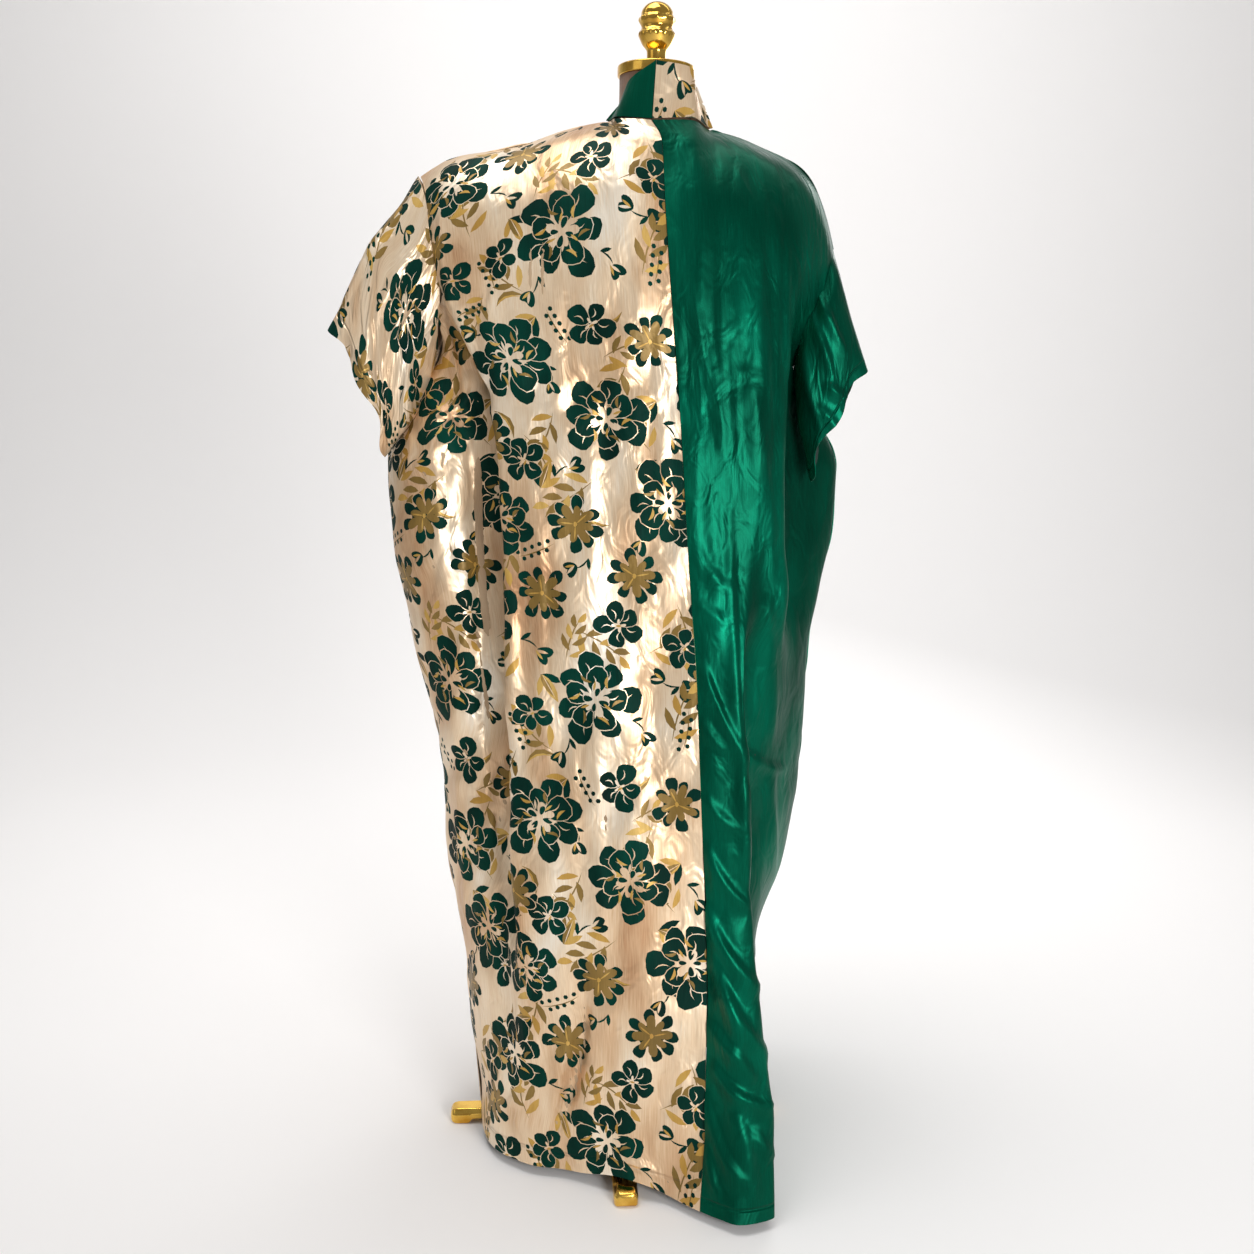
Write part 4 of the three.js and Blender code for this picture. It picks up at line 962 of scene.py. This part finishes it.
RIGHT_CREASES = [
    (28, 1385, 44, 900, 2, 0.9, 13, 0.7), (56, 1370, 62, 1000, -2, 0.7, 12, 0.7),
    (84, 1375, 98, 960, 2, 1.2, 12, 0.5), (112, 1360, 118, 1080, 0, 1.0, 12, 0.6),
    (138, 1340, 142, 1000, 2, 1.2, 12, 0.6), (164, 1300, 168, 1040, 2, 1.4, 9, 0.5),
    (44, 1240, 90, 1030, 5, 1.0, 9, 0.35), (64, 1160, 98, 980, -4, 1.0, 8, 0.4),
    (96, 1190, 124, 930, 0, 0.8, 7, 0.5), (122, 1100, 169, 800, -6, 2.4, 17, 0.5),
    (150, 1180, 158, 960, 3, 1.3, 10, 0.5), (176, 1260, 182, 1080, 2, 1.5, 7, 0.5),
    (58, 1020, 70, 760, 3, 1.4, 14, 0.6), (84, 940, 100, 700, 2, 1.6, 13, 0.6),
    (106, 920, 130, 570, 3, 2.6, 12, 0.3), (128, 620, 140, 420, 0, 3.6, 10, 0.3),
    (126, 592, 208, 540, 6, 3.1, 7, 0.5), (74, 716, 132, 592, 4, 3.1, 9, 0.4),
    (144, 606, 162, 740, 3, 2.7, 9, 0.5), (160, 800, 178, 590, -4, 3.1, 12, 0.5),
    (64, 868, 112, 806, 8, 2.2, 11, 0.5), (60, 806, 106, 766, 6, 2.0, 10, 0.6),
    (76, 640, 112, 600, 5, 2.1, 9, 0.6), (82, 540, 132, 496, 6, 2.2, 10, 0.5),
    (84, 476, 142, 396, 7, 3.4, 13, 0.35), (84, 400, 162, 286, 9, 4.2, 15, 0.35),
    (92, 336, 132, 206, -8, 3.4, 13, 0.45), (108, 306, 176, 200, 7, 3.9, 13, 0.35),
    (86, 246, 152, 176, -7, 3.6, 13, 0.4), (96, 196, 178, 144, 7, 3.9, 12, 0.35),
    (88, 156, 142, 56, 10, 3.6, 14, 0.4), (126, 146, 152, 36, -6, 3.4, 12, 0.45),
    (150, 124, 180, 84, 3, 3.1, 9, 0.5), (92, 96, 110, 30, 3, 2.8, 9, 0.5),
    (186, 970, 180, 700, -4, 2.0, 10, 0.5), (182, 560, 192, 370, 4, 2.8, 11, 0.5),
]

CUTS = {
    "left": (LEFT_ROWS, LEFT_DROP, LEFT_CREASES, figure_threads, "brocade"),
    "right": (RIGHT_ROWS, RIGHT_DROP, RIGHT_CREASES, [emerald_satin, emerald_reverse], "satin"),
}
SEAM = 0.3  # half the gap between two panels
# swell, height above which the cloth is smooth, move off the seam, start of the woven figure
BACK_HANG = {"left": (2.3, 1340, -SEAM, (0, 0)), "right": (1.4, 1000, SEAM, None)}
bodies = {}
for side, (table, drop, creases, threads, slot) in CUTS.items():
    lines = [back_lines(row, level, drop) for row, level in zip(table, LEVELS)]
    grid = body_grid(lines, CELL)
    bodies["back", side] = np.array(lines), grid
    swell, smooth_above, gap, figure = BACK_HANG[side]
    grid = creased(grid, grid_normals(grid, (0, -1, 0)), creases, swell, 11, smooth_above)
    grid[:, 0, 0] += gap
    back = add_cloth(f"back_{side}", grid, grid_normals(grid, (0, -1, 0)), threads, figure)

# ---------------------------------------------------------------- front panels
# The hidden side is cut like the back, with a V at the neck and soft folds that open towards the hem.

FRONT_CREASES = [
    (-60, 1260, -90, 900, 6, 2.4, 14, 0.6), (60, 1260, 84, 940, -6, 2.4, 14, 0.6),
    (-120, 1180, -150, 800, 8, 2.6, 14, 0.5), (120, 1180, 150, 840, -8, 2.6, 14, 0.5),
    (-30, 1000, -50, 500, 6, 3.0, 14, 0.5), (40, 980, 56, 460, -6, 3.0, 14, 0.5),
    (-180, 900, -190, 420, 8, 3.0, 14, 0.5), (150, 820, 130, 360, 8, 3.0, 14, 0.5),
    (-90, 520, -110, 90, 6, 3.6, 16, 0.5), (90, 500, 100, 80, -6, 3.6, 16, 0.5),
    (-10, 420, 10, 70, 5, 3.0, 14, 0.6), (-200, 420, -190, 100, 5, 3.0, 14, 0.6),
    (-40, 1200, 40, 1120, 8, 2.0, 12, 0.6), (160, 380, 150, 110, 4, 3.0, 12, 0.6),
]
for side, (table, drop, _, threads, slot) in CUTS.items():
    lines = [front_lines(row, level, drop, NECK_V[side]) for row, level in zip(table, LEVELS)]
    grid = body_grid(lines, CELL)
    bodies["front", side] = np.array(lines), grid
    grid = creased(grid, grid_normals(grid, (0, 1, 0)), FRONT_CREASES, 1.8, 12)
    grid[:, 0, 0] += SEAM if side == "right" else -SEAM
    front = add_cloth(f"front_{side}", grid, grid_normals(grid, (0, 1, 0)), threads,
                      (150, 260) if side == "left" else None)

# ---------------------------------------------------------------- sleeves
# Short, wide tubes sewn on at the dropped shoulder, with a stitched groove over the hem. They hang flat
# from their own weight, the hem waves and its lower corner opens.

# outer x and z, inner x and z, middle and half depth, drawn in and drawn up half way round
LEFT_SLEEVE = np.array([
    [-348, 1302, -306, 1072, -12, 46, 0, 0], [-382, 1249, -322, 1034, -18, 44, 2, 2],
    [-411, 1196, -343, 1000, -24, 38, 6, 4], [-440, 1140, -366, 968, -30, 28, 15, 7],
], float)
RIGHT_SLEEVE = np.array([
    [256, 1222, 201, 1068, -24, 40, 0, 0], [268, 1183, 206, 1030, -28, 38, 2, 2],
    [281, 1140, 217, 988, -32, 34, 6, 4], [296, 1098, 227, 945, -36, 28, 13, 6],
], float)
SLEEVE_GAP = 2.2
SLEEVE_SIDES = 109
HEM_WAVE = 7
LEFT_SLEEVE_CREASES = [
    (-330, 1300, -420, 1170, 6, 3.4, 9, 0.5), (-318, 1260, -392, 1120, -5, 3.0, 8, 0.5),
    (-304, 1220, -370, 1060, 6, 3.2, 9, 0.5), (-300, 1180, -352, 1020, 4, 2.6, 8, 0.6),
    (-345, 1270, -380, 1230, 4, 2.4, 7, 0.6), (-412, 1150, -380, 1040, -8, 3.2, 9, 0.5),
]
RIGHT_SLEEVE_CREASES = [
    (222, 1210, 262, 1120, 4, 3.2, 8, 0.5), (214, 1170, 250, 1060, -4, 2.8, 7, 0.5),
    (208, 1130, 236, 1010, 4, 3.0, 8, 0.5), (236, 1080, 268, 1060, 4, 3.4, 7, 0.5),
    (226, 1050, 262, 1000, -4, 2.8, 8, 0.5),
]


def armhole(lines, places):
    """Points down the side line of a panel, from the shoulder to the underarm."""
    flat = lines[:, 7]
    slope = slopes(flat)
    slope[UNDERARM, 1] = 0
    return monotone(flat, places, slope)


def sleeve_grid(side, table):
    """A sleeve's grid, sewn shut under the arm: its rings run round by the front, then the back."""
    outward = -1 if side == "left" else 1
    turn = np.linspace(0.5, 1.5, SLEEVE_SIDES) % 1.0
    on_back = turn <= 0.5
    places = 2 * UNDERARM * np.where(on_back, turn, 1 - turn)
    back, front = (armhole(bodies[which, side][0], places) for which in ("back", "front"))
    start = np.where(on_back[:, None], back, front) + [outward * SLEEVE_GAP, 0, 0]
    angle = 2 * math.pi * turn
    along, midway = (1 + np.cos(angle)) / 2, np.sin(angle) ** 2
    rings = [start]
    for outer_x, outer_z, inner_x, inner_z, middle_y, half_depth, inward, upward in table:
        rings.append(np.stack([
            inner_x + (outer_x - inner_x) * along - outward * midway * inward,
            middle_y - half_depth * np.sin(angle),
            inner_z + (outer_z - inner_z) * along + midway * upward,
        ], axis=-1))
    lobes = HEM_WAVE * np.sin(5 * angle + 0.6) * np.sqrt(midway)
    rings[-1] = rings[-1] + lobes[:, None] * [0.9 * outward, 0, -0.45]
    rings = np.array(rings)
    down = stations(np.linalg.norm(np.diff(rings, axis=0), axis=-1).mean(axis=1), CELL)
    flat = rings.reshape(len(rings), -1)
    return monotone(flat, down, slopes(flat)).reshape(len(down), -1, 3)


for side, table, creases in (("left", LEFT_SLEEVE, LEFT_SLEEVE_CREASES),
                             ("right", RIGHT_SLEEVE, RIGHT_SLEEVE_CREASES)):
    grid = sleeve_grid(side, table)
    normals = np.cross(np.gradient(grid, axis=1), np.gradient(grid, axis=0))
    normals /= np.linalg.norm(normals, axis=-1, keepdims=True)
    top = normals[len(normals) // 2, SLEEVE_SIDES // 2]
    normals = -normals if top[2] < 0 else normals
    normals[:, 0] = normals[:, -1] = (normals[:, 0] + normals[:, -1]) / 2
    grid = creased(grid, normals, creases, 1.0, 13)
    threads, slot = CUTS[side][3:]
    sleeve = add_cloth(f"sleeve_{side}", grid, normals, threads,
                       (40, 120) if side == "left" else None)

# ---------------------------------------------------------------- neck band
# A stand collar cut in two halves that meet at the centre back and run down to the foot of the V. It
# stands against the form's neck, and its free edge rolls out a little over the shoulder.

# along the neckline (0 to 2 on the back, 2 to 4 on the front), and from the seam to the free edge
LEFT_BAND = np.array([
    [0, 4, 9, 74], [1, 15, 9, 46], [2, 15, -3, 18], [2.5, 10, 6, 17], [3, 20, 10, 12], [4, 0, 3, 34],
], float)
RIGHT_BAND = np.array([
    [0, 4, 9, 74], [1, -4, 4, 63], [2, -22, -3, 52], [2.5, -12, 8, 37], [3, -20, 10, 16], [4, 0, 3, 34],
], float)
BAND_GAP = 3
BAND_STEPS, BAND_ROWS = 61, 14


def neckline(lines, places):
    """Points along the top line of a panel, from its centre seam."""
    return monotone(lines[0], places, slopes(lines[0]))


for side, table, threads, slot in (("left", LEFT_BAND, [emerald_satin, emerald_reverse], "satin"),
                                   ("right", RIGHT_BAND, figure_threads, "brocade")):
    along = np.linspace(0, 4, BAND_STEPS)
    back, front = (neckline(bodies[which, side][0], places) for which, places in (
        ("back", np.minimum(along, 2)), ("front", np.maximum(4 - along, 0).clip(0, 2))))
    seam = np.where(along[:, None] <= 2, back, front)
    reach = monotone(table[:, 1:], np.interp(along, table[:, 0], np.arange(len(table))),
                     slopes(table[:, 1:]))
    rise = np.linspace(1, 0, BAND_ROWS)
    share = rise[:, None, None] + BAND_GAP / np.linalg.norm(reach, axis=-1)[:, None]
    grid = seam + reach * share
    normals = grid_normals(grid, (0, -1, 0))
    if (normals[:, :20] @ np.array([0, -1.0, 0])).mean() < 0:
        normals = -normals
    wave = np.sin(np.linspace(0, 9, BAND_STEPS))[None, :] * rise[:, None] ** 2
    grid = grid + normals * 0.8 * wave[..., None]
    grid[:, 0, 0] += SEAM if side == "right" else -SEAM
    band = add_cloth(f"neck_band_{side}", grid, normals, threads,
                     (150, 243) if side == "right" else None, 100)

# ---------------------------------------------------------------- floor and light
# A pale paper sweep. One large soft light stands low beside the camera, so that cloth that turns away
# darkens, with weak lights from the left, above and behind, in a bright room.

paper, _ = new_material("pale_paper", {"Base Color": linear("#F7F5F4"), "Roughness": 0.9})
bend = np.linspace(0, math.pi / 2, 33)
sweep_profile = [(-6, 0), *zip(1.7 + 1.8 * np.sin(bend), 1.8 - 1.8 * np.cos(bend)), (3.5, 5)]
sweep_points = [(x, y, z) for y, z in sweep_profile for x in (-6, 6)]
sweep_faces = [(2 * i, 2 * i + 1, 2 * i + 3, 2 * i + 2) for i in range(len(sweep_profile) - 1)]
sweep_mesh = bpy.data.meshes.new("sweep")
sweep_mesh.from_pydata(sweep_points, [], sweep_faces)
sweep_mesh.polygons.foreach_set("use_smooth", [True] * len(sweep_faces))
sweep_mesh.materials.append(paper)
sweep = bpy.data.objects.new("sweep", sweep_mesh)
bpy.context.scene.collection.objects.link(sweep)
sweep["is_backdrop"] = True


def add_light(name, place, target, size, power):
    """A square soft light that looks at a target."""
    light = bpy.data.objects.new(name, bpy.data.lights.new(name, "AREA"))
    light.data.size = size
    light.data.energy = power
    light.location = place
    light.rotation_euler = (Vector(target) - Vector(place)).to_track_quat("-Z", "Y").to_euler()
    bpy.context.scene.collection.objects.link(light)


add_light("key", (1.2, -2.5, 1.1), (0, 0, 0.8), 0.9, 45)
add_light("fill", (-2.4, -1.5, 1.9), (-0.1, 0, 0.8), 1.4, 4)
add_light("top", (-0.4, -0.2, 3.2), (0, 0, 0.6), 1.4, 31)
add_light("wall", (0.0, 0.9, 3.4), (0, 3.5, 2.0), 3.0, 64)
add_light("back", (0.9, 2.2, 1.6), (0, 0, 0.8), 1.2, 14)

world = bpy.data.worlds.new("room")
bpy.context.scene.world = world
world.use_nodes = True
world.node_tree.nodes["Background"].inputs["Color"].default_value = linear("#F4F4F4")
world.node_tree.nodes["Background"].inputs["Strength"].default_value = 0.3
bpy.context.scene.view_settings.view_transform = "Standard"

low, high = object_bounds()
